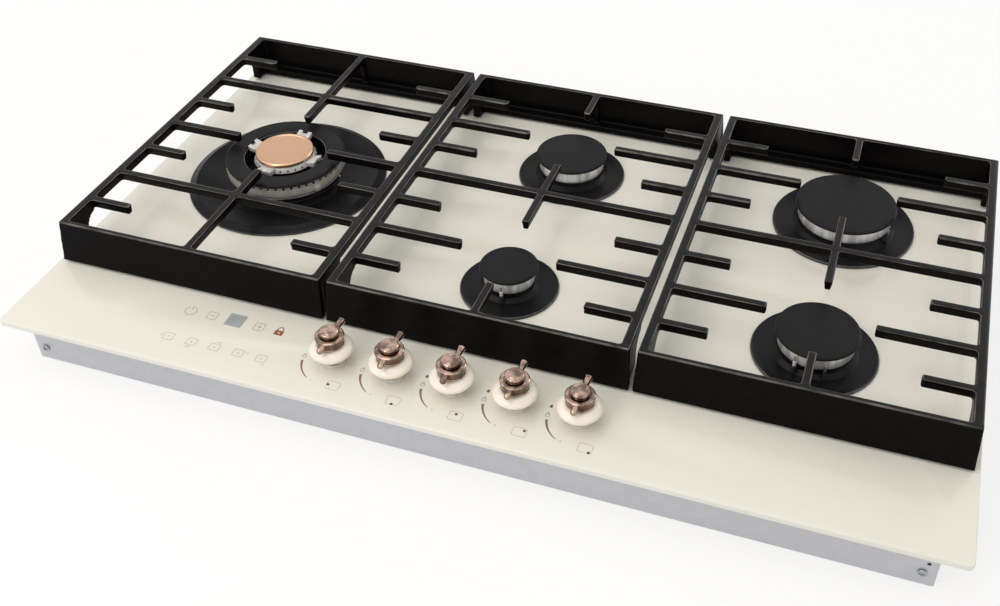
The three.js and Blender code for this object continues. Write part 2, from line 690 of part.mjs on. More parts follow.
function wokRingCap() {
  const seat = WOK_CROWN_TOP + SEAT_GAP;
  const top = seat + WOK_RING_THICKNESS;
  const profile = [
    [WOK_RING_INNER_RADIUS, seat],
    [WOK.cap, seat],
    [WOK.cap, top - CAP_BEVEL],
    [WOK.cap - CAP_BEVEL, top],
    [WOK_RING_INNER_RADIUS, top],
  ];
  return turned(profile);
}

// Inner crown: a small flared cup with four lugs that reach out towards the ring cap.
function wokInnerCrown() {
  const bottom = WOK_INNER_SEAT + SEAT_GAP;
  const socket = WOK_SOCKET_RADIUS - BORE_GAP;
  const chamber = WOK_INNER_CROWN_RADIUS - CROWN_WALL * 2;
  const profile = [
    [GAS_PORT_RADIUS, CROWN_BOTTOM],
    [socket, CROWN_BOTTOM],
    [socket, bottom],
    [WOK_INNER_CROWN_FOOT_RADIUS, bottom],
    [WOK_INNER_CROWN_RADIUS, WOK_INNER_TOP - WOK_LUG_HEIGHT],
    [WOK_INNER_CROWN_RADIUS, WOK_INNER_TOP],
    [chamber, WOK_INNER_TOP],
    [chamber, bottom + CROWN_FLOOR],
    [GAS_PORT_RADIUS, bottom + CROWN_FLOOR],
  ];
  const reach = WOK_RING_INNER_RADIUS - BORE_GAP * 2;
  const tip = Math.sqrt(reach ** 2 - (WOK_LUG_TIP_WIDTH / 2) ** 2);
  const root = chamber + CROWN_WALL;
  const lugOutline = polygon([
    [root, -WOK_LUG_ROOT_WIDTH / 2],
    [tip, -WOK_LUG_TIP_WIDTH / 2],
    [tip, WOK_LUG_TIP_WIDTH / 2],
    [root, WOK_LUG_ROOT_WIDTH / 2],
  ]);
  const lugs = Array.from({ length: WOK_LUG_COUNT }, (_, i) => {
    const options = { depth: WOK_LUG_HEIGHT, bevelEnabled: false };
    const geometry = new THREE.ExtrudeGeometry(lugOutline, options);
    geometry.rotateZ((2 * Math.PI * i) / WOK_LUG_COUNT);
    geometry.translate(0, 0, WOK_INNER_TOP - WOK_LUG_HEIGHT);
    return solid(geometry);
  });
  const body = join([turned(profile), ...lugs]);
  return cut(body, [pinHoles(WOK)[0]]);
}

function wokCentreCap() {
  const seat = WOK_INNER_TOP + SEAT_GAP;
  const top = seat + WOK_CAP_THICKNESS;
  const rim = WOK_INNER_CROWN_RADIUS - CROWN_WALL * 2 - BORE_GAP;
  const profile = [
    [0, seat],
    [rim - CAP_RIM_WALL, seat],
    [rim - CAP_RIM_WALL, seat - CAP_RIM_DEPTH],
    [rim, seat - CAP_RIM_DEPTH],
    [rim, seat],
    [WOK_CAP_RADIUS, seat],
    [WOK_CAP_RADIUS, top - CAP_BEVEL],
    [WOK_CAP_RADIUS - CAP_BEVEL, top],
    [0, top],
  ];
  return turned(profile);
}

// ---------------------------------------------------------------- pan supports

const GRATE_TOP = GLASS_TOP + GRATE_TOP_HEIGHT;
const GRATE_BOTTOM = GLASS_TOP + GRATE_FOOT_HEIGHT;
const FRONT_TOP_Y = GRATE_CENTRE_Y - GRATE_DEPTH / 2;
const BACK_TOP_Y = GRATE_CENTRE_Y + GRATE_DEPTH / 2;
const WALL_OVERLAP = WALL_TOP_THICKNESS / 2;
const BAR_SPREAD = [
  [-BAR_BOTTOM_WIDTH / 2, -BAR_HEIGHT],
  [BAR_BOTTOM_WIDTH / 2, -BAR_HEIGHT],
  [BAR_TOP_WIDTH / 2, 0],
  [-BAR_TOP_WIDTH / 2, 0],
];

// A bar along X at one depth, or along Y at one width. Its section narrows downwards.
function barAlongX(y, from, to) {
  const section = BAR_SPREAD.map(([side, height]) => [y + side, GRATE_TOP + height]);
  return pulledAlongX(polygon(section), from, to);
}

function barAlongY(from, to) {
  const options = { depth: to - from, bevelEnabled: false };
  const geometry = new THREE.ExtrudeGeometry(polygon(BAR_SPREAD), options);
  geometry.rotateX(Math.PI / 2);
  geometry.translate(0, to, GRATE_TOP);
  return solid(geometry);
}

// Front or back wall: full height, leaning outwards towards the glass.
function grateWall(topY, outward, left, right) {
  const footY = topY + outward * WALL_LEAN;
  const section = polygon([
    [topY, GRATE_TOP],
    [topY - outward * WALL_TOP_THICKNESS, GRATE_TOP],
    [footY - outward * WALL_BOTTOM_THICKNESS, GRATE_BOTTOM],
    [footY, GRATE_BOTTOM],
  ]);
  return pulledAlongX(section, left, right);
}

// Ledge along the inner foot of a wall, and the rib that stands on it in the middle.
function wallStiffeners(topY, outward, left, right) {
  const footY = topY + outward * WALL_LEAN;
  const [near, far] = [footY - outward * WALL_OVERLAP, footY - outward * LEDGE_REACH];
  const ledgeTop = GRATE_BOTTOM + LEDGE_HEIGHT;
  const ledge = block([left, Math.min(near, far), GRATE_BOTTOM], [right, Math.max(near, far), ledgeTop]);
  const rib = polygon([
    [topY - outward * WALL_OVERLAP, GRATE_TOP - WALL_OVERLAP],
    [topY - outward * RIB_TOP_REACH, GRATE_TOP - WALL_OVERLAP],
    [footY - outward * RIB_FOOT_REACH, GRATE_BOTTOM + WALL_OVERLAP],
    [footY - outward * WALL_OVERLAP, GRATE_BOTTOM + WALL_OVERLAP],
  ]);
  return [ledge, pulledAlongX(rib, -RIB_WIDTH / 2, RIB_WIDTH / 2)];
}

// Side of a pan support: a rail on two short legs, with an arch between them.
function grateSide(left, right) {
  const front = FRONT_TOP_Y - WALL_LEAN;
  const back = BACK_TOP_Y + WALL_LEAN;
  const railBottom = GRATE_TOP - RAIL_HEIGHT;
  const shape = new THREE.Shape();
  shape.moveTo(front + WALL_BOTTOM_THICKNESS / 2, GRATE_BOTTOM);
  shape.lineTo(front + LEG_LENGTH, GRATE_BOTTOM);
  const arcY = railBottom - ARCH_RADIUS;
  shape.absarc(front + LEG_LENGTH + ARCH_RADIUS, arcY, ARCH_RADIUS, Math.PI, Math.PI / 2, true);
  shape.absarc(back - LEG_LENGTH - ARCH_RADIUS, arcY, ARCH_RADIUS, Math.PI / 2, 0, true);
  shape.lineTo(back - LEG_LENGTH, GRATE_BOTTOM);
  shape.lineTo(back - WALL_BOTTOM_THICKNESS / 2, GRATE_BOTTOM);
  shape.lineTo(BACK_TOP_Y - WALL_TOP_THICKNESS / 2, GRATE_TOP);
  shape.lineTo(FRONT_TOP_Y + WALL_TOP_THICKNESS / 2, GRATE_TOP);
  shape.closePath();
  return pulledAlongX(shape, left, right);
}

// Frame of a pan support, with its four feet.
function grateFrame(width) {
  const [left, right] = [-width / 2, width / 2];
  const footX = [left + RAIL_WIDTH / 2, right - RAIL_WIDTH / 2];
  const footY = [
    FRONT_TOP_Y - WALL_LEAN + GRATE_FOOT_INSET,
    BACK_TOP_Y + WALL_LEAN - GRATE_FOOT_INSET,
  ];
  const feet = footX.flatMap((x) => footY.map((y) => rod(
    [x, y, GLASS_TOP + SEAT_GAP],
    [x, y, GRATE_BOTTOM + OVERCUT],
    GRATE_FOOT_RADIUS,
    GRATE_FOOT_RADIUS,
    PIN_ROUND,
  )));
  return [
    grateWall(FRONT_TOP_Y, -1, left, right),
    grateWall(BACK_TOP_Y, 1, left, right),
    ...wallStiffeners(FRONT_TOP_Y, -1, left, right),
    ...wallStiffeners(BACK_TOP_Y, 1, left, right),
    grateSide(left, left + RAIL_WIDTH),
    grateSide(right - RAIL_WIDTH, right),
    ...feet,
  ];
}

// A pair of fingers that reach in from both rails and stop short of the middle.
function fingerPair(width, y, tip) {
  const reach = width / 2 - RAIL_WIDTH / 2;
  return [barAlongX(y, -reach, -tip), barAlongX(y, tip, reach)];
}

const SHORT_ROWS = SHORT_ROW_STEPS.map((step) => FRONT_ROW_Y + step * BAR_PITCH);

// Pan support over two burners, one behind the other.
function doubleGrate(width) {
  const reach = width / 2 - RAIL_WIDTH / 2;
  return join([
    ...grateFrame(width),
    ...SHORT_ROWS.flatMap((y) => fingerPair(width, y, SHORT_FINGER_TIP)),
    ...fingerPair(width, FRONT_ROW_Y, LONG_FINGER_TIP),
    ...fingerPair(width, BACK_ROW_Y, LONG_FINGER_TIP),
    barAlongX(WOK_ROW_Y, -reach, reach),
    barAlongY(FRONT_TOP_Y + WALL_OVERLAP, FRONT_ROW_Y - LONG_FINGER_TIP),
    barAlongY(FRONT_ROW_Y + LONG_FINGER_TIP, BACK_ROW_Y - LONG_FINGER_TIP),
    barAlongY(BACK_ROW_Y + REAR_STUB_TIP, BACK_TOP_Y - WALL_OVERLAP),
  ]);
}

// Pan support over the single wok burner.
function wokGrate(width) {
  const reach = width / 2 - RAIL_WIDTH / 2;
  return join([
    ...grateFrame(width),
    ...SHORT_ROWS.flatMap((y) => fingerPair(width, y, SHORT_FINGER_TIP)),
    ...fingerPair(width, WOK_ROW_Y, WOK_FINGER_TIP),
    barAlongX(FRONT_ROW_Y, -reach, reach),
    barAlongX(BACK_ROW_Y, -reach, reach),
    barAlongY(FRONT_TOP_Y + WALL_OVERLAP, WOK_ROW_Y - WOK_FINGER_TIP),
    barAlongY(WOK_ROW_Y + WOK_FINGER_TIP, BACK_TOP_Y - WALL_OVERLAP),
  ]);
}

// ---------------------------------------------------------------- knobs and taps

const BOWL_BOTTOM = GLASS_TOP + KNOB_TRAVEL + SEAT_GAP;
const LEVER_BOTTOM = GLASS_TOP + BOWL_TOP_HEIGHT + SEAT_GAP;

// Rounded bowl of a knob, on a narrower foot, with a bore for the stem.
function knobBowl() {
  const bore = STEM_RADIUS + BORE_GAP;
  const footTop = BOWL_BOTTOM + BOWL_FOOT_HEIGHT;
  const widest = GLASS_TOP + BOWL_WIDEST_HEIGHT;
  const top = GLASS_TOP + BOWL_TOP_HEIGHT;
  const profile = [[bore, BOWL_BOTTOM], [BOWL_FOOT_RADIUS, BOWL_BOTTOM], [BOWL_FOOT_RADIUS, footTop]];
  for (let i = 1; i <= BOWL_STEPS; i += 1) {
    const angle = (i / BOWL_STEPS) * (Math.PI / 2);
    const spread = (BOWL_RADIUS - BOWL_FOOT_RADIUS) * Math.sin(angle);
    profile.push([BOWL_FOOT_RADIUS + spread, widest - (widest - footTop) * Math.cos(angle)]);
  }
  for (let i = 1; i <= BOWL_STEPS; i += 1) {
    const angle = (i / BOWL_STEPS) * (Math.PI / 2);
    const draw = (BOWL_RADIUS - BOWL_SEAT_RADIUS) * (1 - Math.cos(angle));
    profile.push([BOWL_RADIUS - draw, widest + (top - widest) * Math.sin(angle)]);
  }
  profile.push([bore, top]);
  return turned(profile, SMALL_ROUND);
}

// Metal lever of a knob: a round body with a button on top, a bar through it from front to
// back, and the stem that goes down into the tap.
function knobLever() {
  const bodyTop = GLASS_TOP + LEVER_BODY_TOP;
  const buttonTop = GLASS_TOP + LEVER_BUTTON_TOP;
  const barZ = GLASS_TOP + LEVER_BAR_HEIGHT;
  const profile = [
    [0, LEVER_BOTTOM],
    [LEVER_BODY_RADIUS, LEVER_BOTTOM],
    [LEVER_BODY_RADIUS, bodyTop - LEVER_CHAMFER],
    [LEVER_BODY_RADIUS - LEVER_CHAMFER, bodyTop],
    [LEVER_BUTTON_RADIUS, bodyTop],
    [LEVER_BUTTON_RADIUS, buttonTop - LEVER_CHAMFER],
    [LEVER_BUTTON_RADIUS - LEVER_CHAMFER, buttonTop],
    [0, buttonTop],
  ];
  const nose = rod(
    [0, 0, barZ],
    [0, -LEVER_NOSE_REACH, barZ],
    LEVER_NOSE_RADIUS,
    LEVER_NOSE_RADIUS,
    PIN_ROUND,
  );
  const tail = rod(
    [0, 0, barZ],
    [0, LEVER_TAIL_REACH, barZ],
    LEVER_NOSE_RADIUS,
    LEVER_TAIL_RADIUS,
    PIN_ROUND,
  );
  const stemBottom = TAP_PLUG_TOP - STEM_ENGAGEMENT;
  const stem = stemSection(stemBottom, LEVER_BOTTOM + LEVER_CHAMFER, 0);
  return join([turned(profile, SMALL_ROUND), nose, tail, stem]);
}

// Round stem with one flat side, or the socket for it when it is given some clearance.
function stemSection(bottom, top, clearance) {
  const radius = STEM_RADIUS + clearance;
  const flat = STEM_FLAT + clearance;
  const start = Math.acos(flat / radius);
  const shape = new THREE.Shape();
  shape.absarc(0, 0, radius, start, 2 * Math.PI - start);
  shape.closePath();
  return raised(shape, bottom, top, PIN_ROUND);
}

// Body of a gas tap: a block on the tray floor with a round neck for the plug and an outlet.
function tapBody() {
  const bottom = SHEET + SEAT_GAP;
  const [side, back] = [TAP_WIDTH / 2, TAP_DEPTH / 2];
  const bore = TAP_PLUG_RADIUS + BORE_GAP;
  const plugBottom = TAP_PLUG_TOP - TAP_PLUG_LENGTH;
  const body = block([-side, -back, bottom], [side, back, TAP_BODY_TOP]);
  const neck = rod([0, 0, bottom + OVERCUT], [0, 0, TAP_NECK_TOP], TAP_NECK_RADIUS);
  const outletEnd = [0, back + TAP_OUTLET_LENGTH, GAS_HEIGHT];
  const outlet = rod([0, 0, GAS_HEIGHT], outletEnd, TAP_OUTLET_RADIUS, TAP_OUTLET_RADIUS, PIN_ROUND);
  const chamber = rod([0, 0, plugBottom - SEAT_GAP], [0, 0, TAP_NECK_TOP + OVERCUT], bore);
  return cut(join([body, neck, outlet]), [chamber]);
}

// Plug of a gas tap: it turns in the neck and has a socket for the stem.
function tapPlug() {
  const bottom = TAP_PLUG_TOP - TAP_PLUG_LENGTH;
  const body = rod([0, 0, bottom], [0, 0, TAP_PLUG_TOP], TAP_PLUG_RADIUS);
  const socket = stemSection(TAP_PLUG_TOP - TAP_SOCKET_DEPTH, TAP_PLUG_TOP + OVERCUT, SEAT_GAP);
  return cut(body, [socket]);
}

// ---------------------------------------------------------------- gas rail and electrics

function inletX() {
  return TRAY_WIDTH / 2 - SHEET - RAIL_SIDE_GAP - RAIL_TUBE_RADIUS;
}

// Gas rail: along the front of all the taps, back along the right side and out of the tray,
// where it ends in the inlet nut.
function gasRail() {
  const left = -KNOB_ROW_END - RAIL_OVERRUN;
  const end = TRAY_DEPTH / 2 + INLET_PAST_TRAY;
  const x = inletX();
  const route = [[left, RAIL_TUBE_Y, GAS_HEIGHT], [x, RAIL_TUBE_Y, GAS_HEIGHT], [x, end, GAS_HEIGHT]];
  const nut = rod(
    [x, end - INLET_NUT_LENGTH, GAS_HEIGHT],
    [x, end, GAS_HEIGHT],
    INLET_NUT_RADIUS,
    INLET_NUT_RADIUS,
    INLET_NUT_SIDES,
  );
  const bore = rod(
    [x, end - INLET_NUT_LENGTH * 2, GAS_HEIGHT],
    [x, end + OVERCUT, GAS_HEIGHT],
    RAIL_BORE_RADIUS,
    RAIL_BORE_RADIUS,
    PIPE_SIDES,
  );
  return cut(pipe(route, RAIL_TUBE_RADIUS, RAIL_BEND).add(nut), [bore]);
}

function ignitionModule() {
  const [width, depth, height] = MODULE_SIZE;
  const [x, y] = [KNOB_ROW_END + MODULE_FROM_KNOB, KNOB_Y + MODULE_BACKSET];
  const bottom = SHEET + SEAT_GAP;
  return block(
    [x - width / 2, y - depth / 2, bottom],
    [x + width / 2, y + depth / 2, bottom + height],
  );
}

// Touch board: held against the underside of the glass.
function touchBoard() {
  const [width, depth, height] = BOARD_SIZE;
  const [x, y] = [-KNOB_ROW_END - BOARD_FROM_KNOB, KNOB_Y + BOARD_BACKSET];
  return block(
    [x - width / 2, y - depth / 2, FLANGE_TOP - height],
    [x + width / 2, y + depth / 2, FLANGE_TOP],
  );
}

// ---------------------------------------------------------------- assembly

const cooktop = new THREE.Group();
cooktop.name = 'gas_cooktop';

// Pieces that share one upright axis stand in a group at that axis.
function standAt(x, y, meshes) {
  const group = new THREE.Group();
  group.position.set(x, y, 0);
  group.add(...meshes);
  cooktop.add(group);
}

cooktop.add(
  part('glass_top', glassTop(), FINISHES.glass, true),
  part('tray_case', trayCase(), FINISHES.steel),
  part('gas_rail', gasRail(), FINISHES.steel),
  part('ignition_module', ignitionModule(), FINISHES.plastic),
  part('touch_board', touchBoard(), FINISHES.circuitBoard),
);

for (const burner of BURNERS) {
  const isWok = burner === WOK;
  standAt(burner.x, burner.y, [
    part(`burner_cup_${burner.name}`, burnerCup(burner), FINISHES.aluminium),
    part(`burner_plate_${burner.name}`, drippingPlate(burner), FINISHES.blackEnamel),
    part(`spark_electrode_${burner.name}`, sparkElectrode(burner), FINISHES.ceramic),
    part(`flame_sensor_${burner.name}`, flameSensor(burner), FINISHES.steel),
    part(`crown_${burner.name}`, isWok ? wokCrown() : burnerCrown(burner), FINISHES.aluminium),
    part(`cap_${burner.name}`, isWok ? wokRingCap() : burnerCap(burner), FINISHES.blackEnamel),
  ]);
}

standAt(WOK.x, WOK.y, [
  part('wok_inner_crown', wokInnerCrown(), FINISHES.aluminium),
  part('wok_centre_cap', wokCentreCap(), FINISHES.copper),
]);

standAt(-COLUMN_PITCH, 0, [part('grate_left', wokGrate(GRATE_SIDE_WIDTH), FINISHES.castIron)]);
standAt(0, 0, [part('grate_middle', doubleGrate(GRATE_MIDDLE_WIDTH), FINISHES.castIron)]);
standAt(COLUMN_PITCH, 0, [part('grate_right', doubleGrate(GRATE_SIDE_WIDTH), FINISHES.castIron)]);

knobSteps.forEach((step, i) => {
  standAt(knobX(step), KNOB_Y, [
    part(`tap_body_${i + 1}`, tapBody(), FINISHES.brass),
    part(`tap_plug_${i + 1}`, tapPlug(), FINISHES.brass),
    part(`knob_bowl_${i + 1}`, knobBowl(), FINISHES.cream),
    part(`knob_lever_${i + 1}`, knobLever(), FINISHES.copper),
  ]);
});

export default cooktop;
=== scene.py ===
import math

import bmesh
import bpy
from mathutils import Matrix, Vector


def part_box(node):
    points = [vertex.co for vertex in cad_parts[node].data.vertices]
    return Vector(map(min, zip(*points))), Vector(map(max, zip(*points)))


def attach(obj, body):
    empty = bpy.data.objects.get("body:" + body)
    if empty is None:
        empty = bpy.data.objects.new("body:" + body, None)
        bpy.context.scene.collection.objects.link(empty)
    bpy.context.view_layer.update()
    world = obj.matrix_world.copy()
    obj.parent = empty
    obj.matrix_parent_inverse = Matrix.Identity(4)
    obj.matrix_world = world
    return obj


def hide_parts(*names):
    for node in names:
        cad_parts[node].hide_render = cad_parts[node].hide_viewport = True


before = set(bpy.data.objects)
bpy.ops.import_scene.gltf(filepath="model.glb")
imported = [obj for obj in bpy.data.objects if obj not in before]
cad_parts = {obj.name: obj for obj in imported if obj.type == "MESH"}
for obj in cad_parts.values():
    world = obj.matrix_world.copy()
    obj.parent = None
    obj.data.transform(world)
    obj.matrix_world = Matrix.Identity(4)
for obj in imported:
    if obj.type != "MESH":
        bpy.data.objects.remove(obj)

bl_info = {
    "name": "Gas cooktop",
    "version": (1, 0, 0),
    "blender": (4, 5, 0),
    "location": "View3D > Sidebar > Cooktop",
    "description": "Builds a built-in gas cooktop piece by piece, over its packed solids",
    "category": "Add Mesh",
}

MM = 0.001
TAU = 2 * math.pi
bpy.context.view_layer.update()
BURNERS = ("left_wok", "middle_front", "middle_back", "right_back", "right_front")
ROUND_BURNERS = BURNERS[1:]
KNOBS = (1, 2, 3, 4, 5)
GRATES = ("left", "middle", "right")


# ------------------------------------------------------------------ places

def low(node, axis):
    """Lowest value of a CAD node along an axis, in mm."""
    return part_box(node)[0]["xyz".index(axis)] / MM


def high(node, axis):
    """Highest value of a CAD node along an axis, in mm."""
    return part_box(node)[1]["xyz".index(axis)] / MM


def middle(node):
    """Middle of a CAD node, seen from above, in mm."""
    lowest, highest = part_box(node)
    return ((lowest.x + highest.x) / 2 / MM, (lowest.y + highest.y) / 2 / MM)


def limits(node, axis):
    """Lowest and highest value of a CAD node along an axis, in mm."""
    return low(node, axis), high(node, axis)


def radius(node):
    """Half the width of a round CAD node, in mm."""
    return (high(node, "x") - low(node, "x")) / 2


GLASS_TOP = high("glass_top", "z")
GLASS_FRONT = low("glass_top", "y")
BURNER_AXIS = {name: middle(f"cap_{name}") for name in BURNERS}
KNOB_AXIS = {i: middle(f"tap_plug_{i}") for i in KNOBS}


# ------------------------------------------------------------------ settings

def amount(name, default, description, lowest=0.0, highest=2000.0, **more):
    """A number property, in the unit that its description names."""
    return bpy.props.FloatProperty(
        name=name, default=default, description=description, min=lowest, max=highest, **more
    )


def millimetres(name, default, description, lowest=0.0, highest=2000.0):
    """A size property in millimetres."""
    return amount(name, default, description, lowest, highest, precision=2)


def colour(name, default, description):
    """A colour property, given as an sRGB hex value."""
    return bpy.props.FloatVectorProperty(
        name=name, default=linear(default), description=description,
        subtype="COLOR", size=3, min=0.0, max=1.0,
    )


def linear(value):
    """Scene-linear colour of an sRGB hex value."""
    parts = [int(value[i:i + 2], 16) / 255 for i in (1, 3, 5)]
    return tuple(p / 12.92 if p <= 0.04045 else ((p + 0.055) / 1.055) ** 2.4 for p in parts)


class CooktopGlassSettings(bpy.types.PropertyGroup):
    """Glass plate, prints and tray."""

    corner: millimetres("Corner radius", 5.0, "Radius of the plate's corners, in mm")
    arris: millimetres("Edge radius", 1.2, "Radius of the polished edge, in mm")
    print_height: millimetres("Print height", 0.05, "How far a print stands off the glass, in mm")
    cream: colour("Glass colour", "#e4e0d1", "Ink on the underside of the glass")
    edge: colour("Edge colour", "#dedbd1", "Polished edge of the glass")
    copper_ink: colour("Copper ink", "#86604a", "Ink of the flame scales")
    lock_ink: colour("Lock ink", "#9a5642", "Ink of the lock")
    grey_ink: colour("Grey ink", "#ab9f90", "Ink of the upper touch keys")
    pale_ink: colour("Pale ink", "#c1bbab", "Ink of the lower touch keys and the burner marks")
    steel: colour("Tray colour", "#bfbfc4", "Zinc-coated steel of the tray")
    screw_head: millimetres("Screw head radius", 3.6, "Radius of the tray's screw heads, in mm")
    scale_radius: millimetres("Flame scale radius", 28.7, "Radius of the scale beside a knob, in mm")


class CooktopGrateSettings(bpy.types.PropertyGroup):
    """Cast pan supports."""

    bar_top: millimetres("Bar width", 7.8, "Width of a bar at its top, in mm")
    bar_bottom: millimetres("Bar foot width", 5.2, "Width of a bar at its lower edge, in mm")
    bar_height: millimetres("Bar height", 9.6, "Height of a bar, in mm")
    wall_top: millimetres("Wall top", 5.0, "Thickness of the front and back wall at the top, in mm")
    wall_foot: millimetres("Wall foot", 7.0, "Thickness of these walls at the foot, in mm")
    rail: millimetres("Rail width", 8.6, "Width of the side rails, in mm")
    fillet: millimetres("Fillet", 2.4, "Size of the fillets where bars meet, in mm")
    grain: millimetres("Mesh size", 1.1, "Size of the faces that make the casting, in mm", 0.8, 4.0)
    iron: colour("Iron colour", "#0b0a0a", "Black enamel on the cast iron")
    # Painted sheen: the castings' top faces get this paler colour, as light from above falls on them.
    painted_top_sheen: colour("Top colour", "#131211", "The same enamel, painted paler on the top as sheen")
    # Painted highlight: a pale colour on the castings' upper edges, where light catches them.
    thin: colour("Edge colour", "#645e58", "Painted highlight on the upper edges of the enamel")


class CooktopBurnerSettings(bpy.types.PropertyGroup):
    """Burner plates, crowns and caps."""

    segments: bpy.props.IntProperty(
        name="Roundness", default=128, min=24, max=256,
        description="How many sides a large turned piece has",
    )
    lip: millimetres("Plate lip", 2.6, "Width of the rounded lip of a burner plate, in mm")
    slot_pitch: millimetres("Slot pitch", 5.2, "Distance between two flame slots, in mm")
    slot: millimetres("Slot width", 1.5, "Width of a flame slot, in mm")
    wok_cap: millimetres("Wok cap radius", 30.2, "Radius of the wok burner's middle cap, in mm")
    enamel: colour("Cap colour", "#171616", "Satin black enamel of the caps")
    plate: colour("Plate colour", "#0c0c0d", "Black enamel of the burner plates")
    # Painted highlight: a grey colour on the outer rims of plates and caps, where light catches them.
    rim: colour("Rim colour", "#4a4744", "Enamel where it is thin, on the rims of plates and caps")
    crown: colour("Crown colour", "#e4e5e8", "Cast aluminium of the crowns")
    dull: colour("Wok crown colour", "#b0ada3", "Cast aluminium of the wok burner's outer crown")
    inner: colour("Inner crown colour", "#c6c3be", "Cast aluminium of the wok burner's inner crown")
    copper: colour("Wok cap colour", "#d1a88a", "Rose gold of the wok burner's middle cap")


class CooktopKnobSettings(bpy.types.PropertyGroup):
    """Knobs."""

    collar: millimetres("Collar radius", 8.5, "Radius of the button on top of a knob, in mm")
    nose: millimetres("Nose radius", 2.9, "Radius of the bar at the front, in mm")
    tail: millimetres("Tail radius", 3.7, "Radius of the bar's flared end, in mm")
    metal: colour("Lever colour", "#998275", "Rose gold plating of the lever")
    # Painted shade and reflection: the lever's side wall and the groove under its button get this darker
    # colour.
    painted_shade_and_reflection: colour("Painted dark colour", "#645347", "The same plating, darkened in the lever's recesses")
    bowl: colour("Bowl colour", "#f1e6d5", "Cream plastic of the bowl")


class CooktopStageSettings(bpy.types.PropertyGroup):
    """Camera, floor and light."""

    key_power: amount("Key light", 20.0, "Power of the large soft light above, in W")
    fill_power: amount("Fill light", 7.0, "Power of the light on the front, in W")
    rim_power: amount("Rim light", 4.0, "Power of the light from behind, in W")
    world_level: amount("Sky level", 0.78, "Strength of the light from all round")
    whiteness: amount(
        "Floor whiteness", 0.7, "How far the floor is lifted to white where it is the background",
        highest=1.0, subtype="FACTOR",
    )
    floor: colour("Floor colour", "#f3f2ef", "Colour of the plain floor")


# ------------------------------------------------------------------ meshes

def new_object(name, mesh):
    """Link a new object for a mesh."""
    piece = bpy.data.objects.new(name, mesh)
    bpy.context.scene.collection.objects.link(piece)
    return piece


def mesh_piece(name, points, faces, smooth_angle=35):
    """An object from points in mm and faces, smooth except over sharp edges."""
    mesh = bpy.data.meshes.new(name)
    mesh.from_pydata([Vector(p) * MM for p in points], [], faces)
    mesh.update()
    soften(mesh, smooth_angle)
    return new_object(name, mesh)


def soften(mesh, smooth_angle=35):
    """Smooth shading, with sharp edges past an angle in degrees."""
    mesh.shade_smooth()
    mesh.set_sharp_from_angle(angle=math.radians(smooth_angle))


def eased(profile, closed, steps=5):
    """Round the corners of a profile. A corner's third value is its radius."""
    path = []
    count = len(profile)
    for i, corner in enumerate(profile):
        here = Vector(corner[:2])
        ease = corner[2] if len(corner) > 2 else 0
        if not ease or (not closed and i in (0, count - 1)):
            path.append(here)
            continue
        before = Vector(profile[i - 1][:2]) - here
        after = Vector(profile[(i + 1) % count][:2]) - here
        half = before.angle(after) / 2
        reach = min(ease / math.tan(half), 0.48 * before.length, 0.48 * after.length)
        ease = reach * math.tan(half)
        inward = (before.normalized() + after.normalized()).normalized()
        centre = here + inward * (ease / math.sin(half))
        start = here + before.normalized() * reach - centre
        end = here + after.normalized() * reach - centre
        turn = math.atan2(start.x * end.y - start.y * end.x, start.dot(end))
        for k in range(steps + 1):
            path.append(centre + Matrix.Rotation(turn * k / steps, 2) @ start)
    return path


def turned(name, finish, profile, axis, sides=96, steps=5):
    """A piece turned about an upright axis. The profile runs up the outside: radius, height."""
    on_axis = profile[0][0] == 0 and profile[-1][0] == 0
    points, rings = [], []
    for size, height in eased(profile, not on_axis, steps):
        ring = circle_loop(*axis, size, sides if size > 1e-6 else 1)
        rings.append(range(len(points), len(points) + len(ring)))
        points += [(x, y, height) for x, y in ring]
    pairs = list(zip(rings, rings[1:]))
    if not on_axis:
        pairs.append((rings[-1], rings[0]))
    faces = []
    for lower, upper in pairs:
        for i in range(sides):
            j = (i + 1) % sides
            corners = (
                lower[i % len(lower)], lower[j % len(lower)],
                upper[j % len(upper)], upper[i % len(upper)],
            )
            face = tuple(dict.fromkeys(corners))
            if len(face) > 2:
                faces.append(face)
    return dress(mesh_piece(name, points, faces), finish)


def outward(mesh):
    """Merge doubles and turn every face outwards."""
    work = bmesh.new()
    work.from_mesh(mesh)
    bmesh.ops.remove_doubles(work, verts=work.verts, dist=1e-7)
    bmesh.ops.recalc_face_normals(work, faces=work.faces)
    work.to_mesh(mesh)
    work.free()


def applied(piece):
    """Turn a piece with its modifiers into a plain mesh, at the origin."""
    graph = bpy.context.evaluated_depsgraph_get()
    mesh = bpy.data.meshes.new_from_object(piece.evaluated_get(graph))
    mesh.transform(piece.matrix_world)
    name = piece.name
    materials = [slot.material for slot in piece.material_slots]
    bpy.data.objects.remove(piece)
    plain = new_object(name, mesh)
    if materials and not mesh.materials:
        for item in materials:
            mesh.materials.append(item)
    return plain


def joined(name, pieces):
    """One object from several plain meshes."""
    work = bmesh.new()
    slots = []
    for piece in pieces:
        offset = {}
        for i, item in enumerate(piece.data.materials):
            if item not in slots:
                slots.append(item)
            offset[i] = slots.index(item)
        first = len(work.faces)
        work.from_mesh(piece.data)
        work.faces.ensure_lookup_table()
        for face in work.faces[first:]:
            face.material_index = offset.get(face.material_index, 0)
    mesh = bpy.data.meshes.new(name)
    work.to_mesh(mesh)
    work.free()
    for item in slots:
        mesh.materials.append(item)
    for piece in pieces:
        bpy.data.objects.remove(piece)
    soften(mesh)
    return new_object(name, mesh)


def bevelled(piece, width, segments, smooth_angle):
    """Apply a piece's modifiers after a last one that rounds its edges by a width in mm."""
    edge = piece.modifiers.new("Edges", "BEVEL")
    edge.width = width * MM
    edge.segments = segments
    edge.limit_method = "ANGLE"
    piece = applied(piece)
    soften(piece.data, smooth_angle)
    return piece


